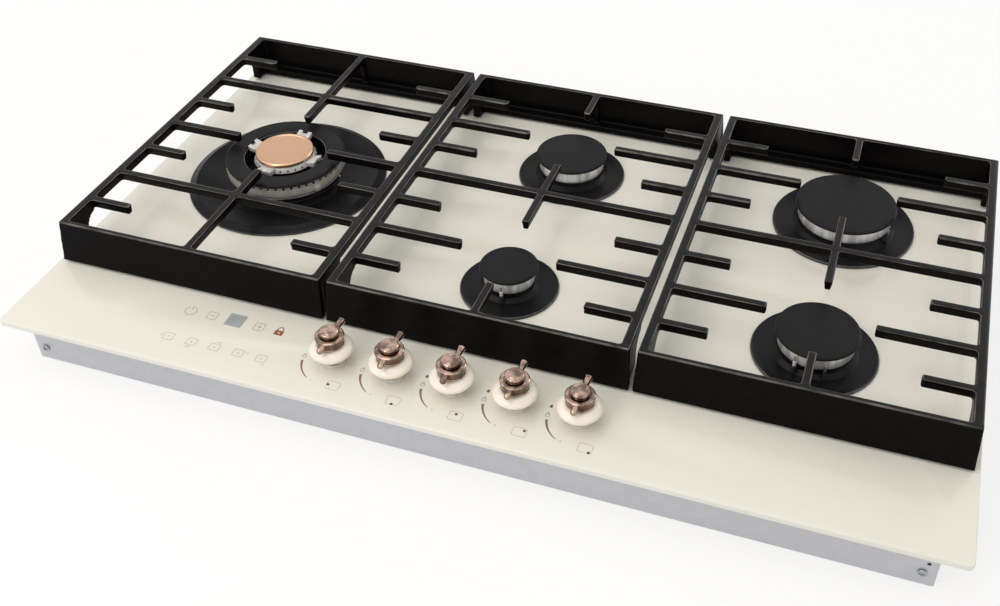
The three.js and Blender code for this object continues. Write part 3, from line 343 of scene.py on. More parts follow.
def cut_out(piece, cutters):
    """Cut other pieces out of a piece, and delete them."""
    for cutter in cutters:
        cut = piece.modifiers.new("Hole", "BOOLEAN")
        cut.operation = "DIFFERENCE"
        cut.object = cutter
        cut.solver = "EXACT"
    piece = applied(piece)
    for cutter in cutters:
        bpy.data.objects.remove(cutter)
    return piece


def hexahedron(lower, upper):
    """Points and faces of a solid between two four-cornered loops."""
    points = [*lower, *upper]
    faces = [(3, 2, 1, 0), (4, 5, 6, 7)]
    faces += [(i, (i + 1) % 4, 4 + (i + 1) % 4, 4 + i) for i in range(4)]
    return points, faces


def block(*levels):
    """A solid between two level rectangles, each given by x, x, y, y and its height."""
    return hexahedron(*(
        [(x0, y0, height), (x1, y0, height), (x1, y1, height), (x0, y1, height)]
        for x0, x1, y0, y1, height in levels
    ))


def gathered(name, solids, smooth_angle=35):
    """One object from several lists of points and faces."""
    points, faces = [], []
    for solid_points, solid_faces in solids:
        first = len(points)
        points += solid_points
        faces += [tuple(first + i for i in face) for face in solid_faces]
    piece = mesh_piece(name, points, faces, smooth_angle)
    outward(piece.data)
    soften(piece.data, smooth_angle)
    return piece


def plate_from_loops(name, loops, bottom, top, bevel=0.0, bevel_steps=3):
    """A flat plate between two heights, in mm: the first loop is its rim, the others are holes."""
    curve = bpy.data.curves.new(name, "CURVE")
    curve.dimensions = "2D"
    curve.fill_mode = "BOTH"
    curve.extrude = ((top - bottom) / 2 - bevel) * MM
    curve.bevel_depth = bevel * MM
    curve.offset = -bevel * MM
    curve.bevel_resolution = bevel_steps
    for loop in loops:
        spline = curve.splines.new("POLY")
        spline.points.add(len(loop) - 1)
        for point, (x, y) in zip(spline.points, loop):
            point.co = (x * MM, y * MM, 0, 1)
        spline.use_cyclic_u = True
    piece = new_object(name, curve)
    piece.location.z = (bottom + top) / 2 * MM
    bpy.context.view_layer.update()
    plain = applied(piece)
    outward(plain.data)
    soften(plain.data, 30)
    return plain


def circle_loop(x, y, size, count=64):
    """Points round a circle."""
    return [
        (x + size * math.cos(TAU * i / count), y + size * math.sin(TAU * i / count))
        for i in range(count)
    ]


def rounded_loop(x0, y0, x1, y1, ease, steps=6):
    """Points round a rectangle with eased corners."""
    corners = ((x1 - ease, y1 - ease, 0), (x0 + ease, y1 - ease, 1),
               (x0 + ease, y0 + ease, 2), (x1 - ease, y0 + ease, 3))
    loop = []
    for cx, cy, quarter in corners:
        for k in range(steps + 1):
            angle = (quarter + k / steps) * math.pi / 2
            loop.append((cx + ease * math.cos(angle), cy + ease * math.sin(angle)))
    return loop


def stroke_loop(points, width, closed=False):
    """Loops round a drawn line of a given width: one loop, or two for a closed line."""
    path = [Vector(p) for p in points]
    count = len(path)
    left, right = [], []
    for i, here in enumerate(path):
        before = path[i - 1] if (i or closed) else here
        after = path[(i + 1) % count] if (i < count - 1 or closed) else here
        run = (after - before).normalized()
        side = Vector((-run.y, run.x)) * width / 2
        left.append(tuple(here + side))
        right.append(tuple(here - side))
    if closed:
        return [left, right]
    return [left + right[::-1]]


# ------------------------------------------------------------------ materials

def add_node(tree, kind, settings=None, links=None):
    """Add a node, set its properties and inputs, and link outputs of other nodes to it."""
    node = tree.nodes.new(kind)
    node.location = (180 * len(tree.nodes), -40 * (len(tree.nodes) % 5))
    for key, value in (settings or {}).items():
        if isinstance(key, str) and hasattr(node, key):
            setattr(node, key, value)
        else:
            node.inputs[key].default_value = value
    for key, source in (links or {}).items():
        tree.links.new(source, node.inputs[key])
    return node


def new_material(name, base, rough, metallic=0.0, **more):
    """A material with a Principled shader, and its tree. An underscore stands for a space."""
    item = bpy.data.materials.new(name)
    item.use_nodes = True
    tree = item.node_tree
    tree.nodes.clear()
    sockets = {key.replace("_", " "): value for key, value in more.items()}
    shader = add_node(tree, "ShaderNodeBsdfPrincipled", {
        "Base Color": (*base, 1), "Roughness": rough, "Metallic": metallic, **sockets,
    })
    add_node(tree, "ShaderNodeOutputMaterial", None, {"Surface": shader.outputs[0]})
    item.diffuse_color = (*base, 1)
    return item, tree, shader


def grain(tree, shader, size_mm, depth_mm, strength, detail, spread=None, stretch=(1.0, 1.0, 1.0)):
    """Fine relief and a slight change of roughness over the surface, on Object coordinates."""
    place = add_node(tree, "ShaderNodeTexCoord")
    mapping = add_node(
        tree, "ShaderNodeMapping", {"Scale": stretch}, {"Vector": place.outputs["Object"]}
    )
    noise = add_node(
        tree, "ShaderNodeTexNoise", {"Scale": 1 / (size_mm * MM), "Detail": detail},
        {"Vector": mapping.outputs[0]},
    )
    bump = add_node(
        tree, "ShaderNodeBump", {"Strength": strength, "Distance": depth_mm * MM},
        {"Height": noise.outputs[0]},
    )
    tree.links.new(bump.outputs[0], shader.inputs["Normal"])
    if spread:
        span = add_node(
            tree, "ShaderNodeMapRange",
            {"To Min": spread[0], "To Max": spread[1], "From Min": 0.3, "From Max": 0.7},
            {"Value": noise.outputs[0]},
        )
        tree.links.new(span.outputs[0], shader.inputs["Roughness"])


def mottled(
    tree, shader, light, dark, size_mm, detail=4.0, span=(0.35, 0.65), stretch=(1.0, 1.0, 1.0)
):
    """Slow change between two tones, as ink or enamel leaves it; on the plating, painted reflection bands.
    """
    place = add_node(tree, "ShaderNodeTexCoord")
    mapping = add_node(
        tree, "ShaderNodeMapping", {"Scale": stretch}, {"Vector": place.outputs["Object"]}
    )
    noise = add_node(
        tree, "ShaderNodeTexNoise", {"Scale": 1 / (size_mm * MM), "Detail": detail},
        {"Vector": mapping.outputs[0]},
    )
    ramp = add_node(tree, "ShaderNodeValToRGB", None, {"Fac": noise.outputs[0]})
    for stop, position, tone in zip(ramp.color_ramp.elements, span, (dark, light)):
        stop.position = position
        stop.color = (*tone, 1)
    tree.links.new(ramp.outputs[0], shader.inputs["Base Color"])


def shade(base, share):
    """A colour made darker or lighter by a share."""
    return tuple(min(1.0, part * share) for part in base)


def surface(name, base, rough, metallic, relief, tones=None, under=None, **sockets):
    """A finish with the relief that grain makes and the tones that mottled makes.

    The tones start with two shares: of its colour for the light one, and for the dark one of the
    colour under it, if there is one.
    """
    item, tree, shader = new_material(name, tuple(base), rough, metallic, **sockets)
    grain(tree, shader, *relief)
    if tones:
        light, dark, *pattern = tones
        mottled(tree, shader, shade(base, light), shade(under or base, dark), *pattern)
    return item


def zinc_coat(base):
    """Hot-dip zinc on sheet steel: a dull grey with faint flat crystals about 8 mm wide."""
    item, tree, shader = new_material("Sheet steel, zinc coated", base, 0.48, 0.4)
    grain(tree, shader, 2.5, 0.02, 0.3, 3.0)
    place = add_node(tree, "ShaderNodeTexCoord")
    crystals = add_node(
        tree, "ShaderNodeTexVoronoi", {"Scale": 1 / (8 * MM)}, {"Vector": place.outputs["Object"]}
    )
    tone = add_node(tree, "ShaderNodeValToRGB", None, {"Fac": crystals.outputs["Color"]})
    for stop, share in zip(tone.color_ramp.elements, (0.97, 1.03)):
        stop.color = (*shade(base, share), 1)
    tree.links.new(tone.outputs[0], shader.inputs["Base Color"])
    return item


def make_materials():
    """All finishes of the cooktop, by a short name."""
    scene = bpy.context.scene
    glass, grate = scene.cooktop_glass, scene.cooktop_grates
    burner, knob = scene.cooktop_burners, scene.cooktop_knobs
    # Painted reflection: the plating's light and dark bands are stretched to run down the sides.
    painted_reflection_bands = (1.0, 1.0, 0.1)
    made = {
        # Tempered float glass with a satin face and cream ink fired on its underside: a flat,
        # even colour under a surface that gives soft, faint reflections.
        "glass": surface(
            "Tempered glass, cream back print", glass.cream, 0.17, 0.0, (60.0, 0.05, 0.2, 1.0),
            (1.01, 0.99, 90.0, 2.0), IOR=1.52, Specular_IOR_Level=0.4,
        ),
        # The ground and polished edge of the same glass: its colour is a little deeper.
        "glass_edge": surface(
            "Tempered glass, polished edge", glass.edge, 0.12, 0.0,
            (2.0, 0.01, 0.2, 2.0, (0.08, 0.18)), IOR=1.52,
        ),
        # Cast iron under matt black vitreous enamel: the sand mould's fine grain shows through.
        "iron": surface(
            "Cast iron, matt black enamel", grate.iron, 0.34, 0.0, (0.9, 0.03, 0.4, 4.0, (0.28, 0.4)),
            (1.25, 0.8, 9.0), Specular_IOR_Level=0.055,
        ),
        # The same enamel on the top faces: a little shinier, and painted paler there as a sheen of the
        # light from above.
        "iron_painted_top_sheen": surface(
            "Cast iron, enamel rubbed by pans", grate.painted_top_sheen, 0.34, 0.0,
            (0.9, 0.03, 0.4, 4.0, (0.28, 0.42)), (1.5, 0.75, 14.0), Specular_IOR_Level=0.16,
        ),
        # Painted highlight: the same enamel, paler in stretches on the upper edges, where light catches
        # them.
        "iron_painted_edge_highlight": surface(
            "Cast iron, thin enamel on an edge", grate.thin, 0.3, 0.0,
            (0.9, 0.02, 0.3, 3.0, (0.24, 0.4)), (1.0, 1.6, 22.0), grate.iron, Specular_IOR_Level=0.35,
        ),
        # Pressed steel under satin black vitreous enamel: smooth, with a slight orange peel.
        "enamel": surface(
            "Pressed steel, satin black enamel", burner.enamel, 0.42, 0.0,
            (1.6, 0.015, 0.3, 2.0, (0.38, 0.46)), (1.1, 0.92, 9.0), Specular_IOR_Level=0.12,
        ),
        # Thin steel under the same enamel, a little glossier, for the plates: deep black with soft
        # streaks of light on the slopes.
        "plate": surface(
            "Pressed steel, black enamel", burner.plate, 0.34, 0.0,
            (3.0, 0.02, 0.2, 2.0, (0.3, 0.38)), (1.3, 0.8, 12.0), Specular_IOR_Level=0.16,
        ),
        # Painted highlight on the rims: the enamel is greyer and shinier there.
        "rim": surface(
            "Thin enamel over a rim", burner.rim, 0.28, 0.0, (1.2, 0.01, 0.2, 2.0, (0.22, 0.36)),
            (1.3, 0.6, 5.0), Specular_IOR_Level=0.4,
        ),
        # Die-cast aluminium, turned bright: fine tool lines run round the wall, and light and dark
        # streaks about 7 mm wide run down it.
        "aluminium": surface(
            "Cast aluminium, turned", burner.crown, 0.36, 0.72,
            (1.4, 0.006, 0.3, 2.0, (0.3, 0.42), (0.2, 0.2, 3.0)),
            (1.15, 0.66, 7.0, 3.0, (0.38, 0.6), (1.0, 1.0, 0.12)),
        ),
        # The wok burner's castings are blasted, not turned: even, soft greys.
        "dull": surface(
            "Cast aluminium, blasted", burner.dull, 0.42, 0.55, (0.8, 0.03, 0.4, 3.0, (0.36, 0.5)),
            (1.12, 0.85, 8.0),
        ),
        "inner": surface(
            "Cast aluminium, blasted fine", burner.inner, 0.42, 0.35,
            (0.8, 0.03, 0.4, 3.0, (0.36, 0.5)), (1.12, 0.85, 8.0),
        ),
        # Aluminium as it leaves the die, for what hardly shows: dull and a little cloudy.
        "cast": surface(
            "Cast aluminium, as cast", linear("#b9b9b8"), 0.5, 1.0,
            (1.5, 0.06, 0.6, 4.0, (0.42, 0.58)), (1.1, 0.85, 12.0),
        ),
        # Rose gold plating over polished brass, with painted reflections: soft light and dark bands
        # about 6 mm wide run down the sides.
        "rose": surface(
            "Rose gold plating, polished", knob.metal, 0.1, 1.0, (3.0, 0.004, 0.2, 1.0, (0.07, 0.14)),
            (1.7, 0.58, 6.0, 1.5, (0.38, 0.64), painted_reflection_bands),
        ),
        # The same plating, painted dark: painted reflection on the side wall, painted shade in the groove.
        "rose_painted_dark": surface(
            "Rose gold plating, darkened", knob.painted_shade_and_reflection, 0.1, 1.0, (3.0, 0.004, 0.2, 1.0, (0.07, 0.14)),
            (1.7, 0.58, 6.0, 1.5, (0.38, 0.64), painted_reflection_bands),
        ),
        # The same plating on the wok burner's cap, left satin: a soft, even reflection.
        "copper": surface(
            "Rose gold plating, satin", burner.copper, 0.28, 1.0, (8.0, 0.001, 0.1, 1.0, (0.27, 0.29)),
            (1.01, 0.98, 14.0),
        ),
        # Moulded cream thermoset: glossy, slightly deeper where it is thick.
        "cream": surface(
            "Moulded plastic, cream gloss", knob.bowl, 0.22, 0.0, (3.0, 0.01, 0.2, 1.0),
            (1.02, 0.97, 18.0), IOR=1.5, Coat_Weight=0.4, Coat_Roughness=0.08,
        ),
        "zinc": zinc_coat(tuple(glass.steel)),
    }
    # Plain finishes: colour, roughness, metallic, size of the grain in mm and span of the roughness.
    # A finish without a colour here has it in the glass settings.
    simple = (
        # Zinc-plated screw steel: bright, with a little blue.
        ("screw", "Screw steel, zinc plated", "#a9abb0", 0.3, 1.0, 0.8, (0.24, 0.4)),
        # Drawn steel tube and rod: fine lines along the draw.
        ("steel", "Drawn steel", "#a5a5a6", 0.34, 1.0, 0.7, (0.28, 0.42)),
        # Free-cutting brass, turned and left bare: warm yellow, slightly dulled.
        ("brass", "Turned brass", "#b89b5e", 0.32, 1.0, 1.0, (0.26, 0.4)),
        # Glazed alumina ceramic: white, glassy.
        ("ceramic", "Glazed ceramic", "#d9d5cc", 0.2, 0.0, 1.5, (0.14, 0.24)),
        # Moulded glass-filled nylon: dark grey with a fine spark-eroded grain.
        ("plastic", "Moulded plastic, dark grey", "#2c2c2e", 0.55, 0.0, 0.6, (0.48, 0.62)),
        # Epoxy board under green solder resist: smooth and slightly glossy.
        ("board", "Circuit board, green resist", "#2c5a3b", 0.35, 0.0, 1.2, (0.3, 0.42)),
        # Moulded silicone rubber: matt and smooth, pale under the knobs and black under the grates.
        ("seal", "Silicone rubber, pale grey", "#cfcdc3", 0.5, 0.0, 0.7, (0.42, 0.58)),
        ("rubber", "Silicone rubber, black", "#141414", 0.7, 0.0, 0.7, (0.62, 0.78)),
        # Screen-printed ceramic inks on the glass: thin and slightly rough.
        ("grey_ink", "Ceramic ink, grey", None, 0.4, 0.0, 0.4, (0.34, 0.46)),
        ("pale_ink", "Ceramic ink, pale", None, 0.4, 0.0, 0.4, (0.34, 0.46)),
        ("copper_ink", "Ceramic ink, copper", None, 0.35, 0.0, 0.4, (0.3, 0.42)),
        ("lock_ink", "Ceramic ink, red copper", None, 0.35, 0.0, 0.4, (0.3, 0.42)),
        ("dark_ink", "Ceramic ink, dark", "#4c443c", 0.4, 0.0, 0.4, (0.34, 0.46)),
        ("scale_ink", "Ceramic ink, brown", "#aa9c8e", 0.4, 0.0, 0.4, (0.34, 0.46)),
        ("spark_ink", "Ceramic ink, slate", "#6b625a", 0.4, 0.0, 0.4, (0.34, 0.46)),
        # Smoked lens over the display: grey and glassy.
        ("display", "Smoked display lens", "#a5a8a6", 0.2, 0.0, 2.0, (0.16, 0.24)),
    )
    for key, name, value, rough, metallic, size, spread in simple:
        base = linear(value) if value else getattr(glass, key)
        made[key] = surface(
            name, base, rough, metallic, (size, 0.02, 0.3, 3.0, spread), (1.06, 0.92, size * 6)
        )
    return made


FINISH = {}


def dress(piece, finish):
    """Give a piece one finish."""
    piece.data.materials.clear()
    piece.data.materials.append(FINISH[finish])
    return piece


def settle(piece, body, slot, *nodes):
    """Attach a piece to the body it moves with, and hide the solids it stands for. The slot is not used.
    """
    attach(piece, body)
    if nodes:
        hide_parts(*nodes)
    return piece


# ------------------------------------------------------------------ geometry nodes

def ring_tree():
    """A node tree that stands beads of a given size in a ring round an upright axis."""
    tree = bpy.data.node_groups.new("Ring of beads", "GeometryNodeTree")
    tree.is_modifier = True
    tree.interface.new_socket("Geometry", in_out="OUTPUT", socket_type="NodeSocketGeometry")
    sizes = (
        ("Count", "NodeSocketInt"), ("Radius", "NodeSocketFloat"), ("Start", "NodeSocketFloat"),
        ("Centre", "NodeSocketVector"), ("Bead", "NodeSocketVector"), ("Finish", "NodeSocketMaterial"),
    )
    for name, kind in sizes:
        tree.interface.new_socket(name, in_out="INPUT", socket_type=kind)
    inputs = add_node(tree, "NodeGroupInput").outputs
    ring = add_node(
        tree, "GeometryNodeMeshCircle", None,
        {"Vertices": inputs["Count"], "Radius": inputs["Radius"]},
    )
    bead = add_node(tree, "GeometryNodeMeshCube", None, {"Size": inputs["Bead"]})
    place = add_node(tree, "GeometryNodeInputPosition")
    split = add_node(tree, "ShaderNodeSeparateXYZ", None, {"Vector": place.outputs[0]})
    angle = add_node(
        tree, "ShaderNodeMath", {"operation": "ARCTAN2"},
        {0: split.outputs["Y"], 1: split.outputs["X"]},
    )
    turn = add_node(tree, "ShaderNodeCombineXYZ", None, {"Z": angle.outputs[0]})
    copies = add_node(
        tree, "GeometryNodeInstanceOnPoints", None,
        {"Points": ring.outputs[0], "Instance": bead.outputs[0], "Rotation": turn.outputs[0]},
    )
    start = add_node(tree, "ShaderNodeCombineXYZ", None, {"Z": inputs["Start"]})
    moved = add_node(
        tree, "GeometryNodeTransform", None,
        {"Geometry": copies.outputs[0], "Translation": inputs["Centre"], "Rotation": start.outputs[0]},
    )
    real = add_node(tree, "GeometryNodeRealizeInstances", None, {0: moved.outputs[0]})
    painted = add_node(
        tree, "GeometryNodeSetMaterial", None,
        {"Geometry": real.outputs[0], "Material": inputs["Finish"]},
    )
    add_node(tree, "NodeGroupOutput", None, {0: painted.outputs[0]})
    return tree


def bead_ring(name, count, ring_radius, centre, bead, finish, start=0.0, bevel=0.25):
    """Beads in a ring, as a plain mesh. Sizes in mm, angles in degrees."""
    tree = bpy.data.node_groups.get("Ring of beads") or ring_tree()
    holder = new_object(name, bpy.data.meshes.new(name))
    modifier = holder.modifiers.new("Beads", "NODES")
    modifier.node_group = tree
    values = {
        "Count": count, "Radius": ring_radius * MM, "Start": math.radians(start),
        "Centre": [v * MM for v in centre], "Bead": [v * MM for v in bead], "Finish": FINISH[finish],
    }
    for socket in tree.interface.items_tree:
        if socket.in_out == "INPUT":
            modifier[socket.identifier] = values[socket.name]
    return bevelled(holder, bevel, 2, 40)


# ------------------------------------------------------------------ glass, prints and tray

# Air round the wok crown and round the other crowns, and the radius of a spindle's hole, in mm.
WOK_GAP, CROWN_GAP, SPINDLE_HOLE = 4.0, 6.0, 6.5


def build_glass():
    """The glass plate, with holes where the burners and the knobs pass through."""
    settings = bpy.context.scene.cooktop_glass
    (x0, x1), (y0, y1) = limits("glass_top", "x"), limits("glass_top", "y")
    loops = [rounded_loop(x0, y0, x1, y1, settings.corner, 10)]
    for name in BURNERS:
        gap = WOK_GAP if name == "left_wok" else CROWN_GAP
        loops.append(circle_loop(*BURNER_AXIS[name], radius(f"crown_{name}") + gap, 96))
    for i in KNOBS:
        loops.append(circle_loop(*KNOB_AXIS[i], SPINDLE_HOLE, 32))
    plate = plate_from_loops(
        "glass_plate", loops, low("glass_top", "z"), GLASS_TOP, settings.arris
    )
    dress(plate, "glass")
    plate.data.materials.append(FINISH["glass_edge"])
    inside = settings.arris + 1.0
    for face in plate.data.polygons:
        spot = face.center / MM
        near_edge = min(x1 - abs(spot.x), y1 - abs(spot.y)) < inside
        if near_edge and abs(face.normal.z) < 0.8:
            face.material_index = 1
    settle(plate, "body", "glass_top", "glass_top")


def print_piece(loops, finish, x, y, name="print"):
    """A thin print on the glass, moved to its place."""
    height = bpy.context.scene.cooktop_glass.print_height
    moved = [[(px + x, py + y) for px, py in loop] for loop in loops]
    return dress(plate_from_loops(name, moved, GLASS_TOP - 0.02, GLASS_TOP + height), finish)


def outlined(half_x, y0, y1, line, ease, inner_ease):
    """Loops of a printed frame: its outside, and its inside a line's width within."""
    return [
        rounded_loop(-half_x, y0, half_x, y1, ease, 4),
        rounded_loop(line - half_x, y0 + line, half_x - line, y1 - line, inner_ease, 4),
    ]


def arc_points(size, start, end, count=24):
    """Points along an arc, in degrees."""
    return [
        (size * math.cos(math.radians(a)), size * math.sin(math.radians(a)))
        for a in (start + (end - start) * i / (count - 1) for i in range(count))
    ]


def crescent(size, start, end, thick, thin, count=24):
    """A flame scale: an arc that narrows from its start to its end."""
    outer = arc_points(size, start, end, count)
    inner = []
    for i, (x, y) in enumerate(outer):
        width = thick + (thin - thick) * i / (count - 1)
        share = 1 - width / size
        inner.append((x * share, y * share))
    return outer + inner[::-1]


def flame_points(size):
    """Outline of a flame mark of a given half width: a drop with its tip up."""
    points = []
    for i in range(24):
        angle = TAU * i / 24
        pull = 1.0 + 0.8 * max(0.0, math.sin(angle)) ** 3
        points.append((size * math.cos(angle), size * math.sin(angle) * pull))
    return points


# The touch keys in mm: the two rows from the plate's front edge, the keys from its middle.
UPPER_ROW, LOWER_ROW = 67, 31
POWER_X, MINUS_X, DISPLAY_X, PLUS_X, LOCK_X = -268, -245.5, -221.8, -197, -176.5

# For each key of the lower row, the bar beside it: left, front, back, right and front right.
BURNER_KEY_BAR = {
    -269: ((-7.4, -1.6), (-7.4, 1.6)), -245: ((-3.0, -6.8), (2.0, -6.8)),
    -222: ((-0.5, 6.6), (3.5, 6.6)), -198: ((7.0, 2.4), (9.4, 2.4)), -175: ((2.5, -6.6), (6.0, -6.6)),
}

# For each knob, where the dot for its burner stands in its burner mark.
BURNER_DOT = {1: (-4.6, 0.0), 2: (0.0, -4.2), 3: (0.0, 2.0), 4: (3.6, 2.2), 5: (3.8, -4.0)}

# From a knob's axis to its flame signs and to its burner mark, in mm.
FLAME_X, MARK_X, MARK_Y = -27.4, 13, -27


def build_prints():
    """Touch keys, display and lock on the left, and the scales round the knobs."""
    grey, copper, dark = [], [], []
    # The upper row: power, minus, display, plus and lock.
    row = GLASS_FRONT + UPPER_ROW
    for line in (arc_points(5.4, 120, 420, 30), [(0, 2.0), (0, 6.6)]):
        grey.append(print_piece(stroke_loop(line, 0.8), "grey_ink", POWER_X, row))
    level, upright = ((-2.6, 0), (2.6, 0)), ((0, -2.6), (0, 2.6))
    for x, bars in ((MINUS_X, (level,)), (PLUS_X, (level, upright))):
        grey.append(print_piece(outlined(5, -5, 5, 0.6, 1.4, 1.0), "grey_ink", x, row))
        grey += [print_piece(stroke_loop(bar, 0.7), "grey_ink", x, row) for bar in bars]
    screen = print_piece(
        [rounded_loop(-8.6, -8, 8.6, 8, 0.8, 3)], "display", DISPLAY_X, row + 1, "display_window"
    )
    lock = [rounded_loop(-4.3, -4.6, 4.3, 1.4, 0.7, 3), circle_loop(0.2, -1.6, 1.0, 12)]
    arch = [(x, y + 3.0) for x, y in arc_points(2.6, 180, 0, 9)]
    for loops in (lock, stroke_loop([(-2.6, 1.4), (-2.6, 3.0), *arch, (2.6, 1.4)], 1.0)):
        copper.append(print_piece(loops, "lock_ink", LOCK_X, row))
    # The lower row: one small key for each burner, with a bar on the side it stands for.
    for x, bar in BURNER_KEY_BAR.items():
        key = outlined(5.2, -4.6, 4.6, 0.8, 1.6, 1.0)
        for loops in (key, [circle_loop(0, 0, 1.1, 12)], stroke_loop(bar, 1.1)):
            grey.append(print_piece(loops, "pale_ink", x, GLASS_FRONT + LOWER_ROW))
    # Round each knob: a flame, an arc that narrows towards a dot, and the mark of its burner.
    ring = bpy.context.scene.cooktop_glass.scale_radius
    angle = math.radians(252)
    dot = circle_loop((ring - 0.9) * math.cos(angle), (ring - 0.9) * math.sin(angle), 0.9, 12)
    flame = flame_points(2.0)
    hollow = [(x * 0.62, y * 0.62 - 0.2) for x, y in flame]
    mark = outlined(6.3, -5.2, 4.8, 0.7, 1.9, 1.3)
    for i in KNOBS:
        x, y = KNOB_AXIS[i]
        dark.append(print_piece([flame, hollow], "scale_ink", x + FLAME_X, y - 2.2))
        copper.append(print_piece([crescent(ring, 195, 243, 2.3, 0.6)], "copper_ink", x, y))
        grey.append(print_piece([dot], "pale_ink", x, y))
        grey.append(print_piece(mark, "pale_ink", x + MARK_X, y + MARK_Y))
        burner = [circle_loop(*BURNER_DOT[i], 1.35, 16)]
        dark.append(print_piece(burner, "dark_ink", x + MARK_X, y + MARK_Y))
        if i > 2:
            dark.append(print_piece([flame_points(1.4)], "spark_ink", x + FLAME_X, y + 8))
    for name, pieces in (("grey_prints", grey), ("copper_prints", copper), ("dark_prints", dark)):
        settle(joined(name, pieces), "body", "glass_top")
    settle(screen, "body", "glass_top")


def lofted(name, loops, smooth_angle=30):
    """A solid skinned over loops of equal length, closed at both ends. Points in mm."""
    count = len(loops[0])
    points = [point for loop in loops for point in loop]
    last = len(points) - count
    faces = [tuple(range(count))[::-1]]
    for first in range(0, last, count):
        for i in range(count):
            j = (i + 1) % count
            faces.append((first + i, first + j, first + count + j, first + count + i))
    faces.append(tuple(range(last, len(points))))
    return gathered(name, [(points, faces)], smooth_angle)


def cylinder_between(name, start, end, size, sides=32):
    """A plain rod between two points, in mm."""
    turn = (Vector(end) - Vector(start)).to_track_quat("Z", "Y").to_matrix()
    rim = [turn @ Vector((x, y, 0)) for x, y in circle_loop(0, 0, size, sides)]
    return lofted(name, [[Vector(centre) + spot for spot in rim] for centre in (start, end)], 35)


def build_tray():
    """The sheet steel tray, with its turned-in flange, holes and screws."""
    settings = bpy.context.scene.cooktop_glass
    x1, y1, top = (high("tray_case", axis) for axis in "xyz")
    sheet, flange, fold = 1.0, 9.0, 0.6
    back_hole_z, front_hole_z = 21, 25.5
    screw_x, screw_z = x1 - 11.2, 14.8

    def level(inset, ease, height):
        """The tray's outline at a height, moved inwards."""
        loop = rounded_loop(-x1 + inset, -y1 + inset, x1 - inset, y1 - inset, ease, 5)
        return [(x, y, height) for x, y in loop]

    tray = lofted("steel_tray", [
        level(fold, 1.6, 0.0), level(0, 2.2, fold), level(0, 2.2, top - fold), level(fold, 1.6, top),
        level(flange, 1.0, top), level(flange, 1.0, top - sheet), level(sheet, 1.2, top - sheet),
        level(sheet, 1.2, sheet),
    ])
    # The gas inlet's hole and the cable's hole in the back, and a small hole in the front.
    holes = (
        (high("gas_rail", "x") - 6, y1, back_hole_z, 6.6, 32),
        (-x1 + 109, y1, back_hole_z, 8.0, 32),
        (x1 - 8, -y1, front_hole_z, 1.7, 16),
    )
    tray = cut_out(tray, [
        cylinder_between("hole", (x, y - 5, z), (x, y + 5, z), size, sides)
        for x, y, z, size, sides in holes
    ])
    soften(tray.data, 30)
    settle(dress(tray, "zinc"), "body", "tray", "tray_case")
    # Screws in the front and the back face, near the corners.
    heads = [
        screw("tray_screw", (side * screw_x, out * y1, screw_z), out, settings.screw_head)
        for side in (-1, 1) for out in (-1, 1)
    ]
    settle(joined("tray_screws", heads), "body", "tray")


def screw(name, place, out, size):
    """A raised screw head with a crossed recess, facing along Y."""
    head = turned(name, "screw", [
        (0, 0), (size, 0), (size, 0.7, 0.5), (size * 0.55, 1.7, 1.2), (0, 1.9),
    ], (0, 0), 32)
    reach, slit = size * 0.75, 0.45
    head = cut_out(head, [
        gathered("recess", [block((-x, x, -y, y, 0.9), (-x, x, -y, y, 3.0))])
        for x, y in ((reach, slit), (slit, reach))
    ])
    turn = Matrix.Rotation(math.radians(-90 * out), 4, "X")
    shift = Vector((place[0], place[1] + out * 0.8, place[2])) * MM
    head.data.transform(Matrix.Translation(shift) @ turn)
    return head


# ------------------------------------------------------------------ pan supports

# How much of the mesh size a free tip loses as the casting's edges are rounded.
TIP_SHRINK = 0.5

# How far a wall leans out towards its foot, and how far its ends flare out there, in mm.
WALL_LEAN, WALL_FLARE = 6.3, 2.0

# From a burner's axis to the tips round it, in mm: short fingers between the burners, bars round
# the wok burner, bars round the others, and the short bar behind them.
FINGER_TIP, WOK_TIP, ROUND_TIP, BACK_TIP = 88.5, 52, 47, 54

# A corner leg, in mm: how far it reaches from the wall's foot, how far under the top its curved
# edge ends, and the radius of that edge. The steps are those along the edge.
LEG_REACH, LEG_DROP, LEG_CURVE, LEG_STEPS = 33, 10, 18, 7

# A rail, in mm: its height, and how much narrower each side of its foot is.
RAIL_HEIGHT, RAIL_DRAFT = 10.4, 0.6

# The ledge inside a wall's foot, in mm: where it starts and ends, its height and its slope.
LEDGE_NEAR, LEDGE_FAR, LEDGE_HEIGHT, LEDGE_SLOPE = 5, 20, 7, 1.5

# Half the width of the ribs under the spine, and the air under a grate's walls, in mm.
RIB_HALF, FOOT_GAP = 2.6, 2.0


def bar_between(start, end, free, top, settings):
    """A cast bar of narrowing section. A free tip is cut longer by what the casting takes off.

    The two numbers of free are 1 for a free tip: at the start and at the end.
    """
    run = (Vector(end) - Vector(start)).normalized()
    side = Vector((-run.y, run.x))
    shrink = run * settings.grain * TIP_SHRINK
    ends = (Vector(start) - shrink * free[0], Vector(end) + shrink * free[1])
    half_top, half_low = settings.bar_top / 2, settings.bar_bottom / 2
    bottom = top - settings.bar_height
    corners = ((-half_low, bottom), (half_low, bottom), (half_top, top), (-half_top, top))
    return hexahedron(*(
        [(*(place + side * width), height) for width, height in corners] for place in ends
    ))


def web(corner, along, across, size, top, settings):
    """A fillet in the corner between two bars: a triangular prism as tall as a bar."""
    corner, along, across = Vector(corner), Vector(along), Vector(across)
    points = (
        corner - along - across, corner + along * size - across, corner - along + across * size,
    )
    heights = (top - settings.bar_height + 1.5, top - 0.2)
    solid = [(*point, height) for height in heights for point in points]
    faces = [(2, 1, 0), (3, 4, 5), (0, 1, 4, 3), (1, 2, 5, 4), (2, 0, 3, 5)]
    return solid, faces


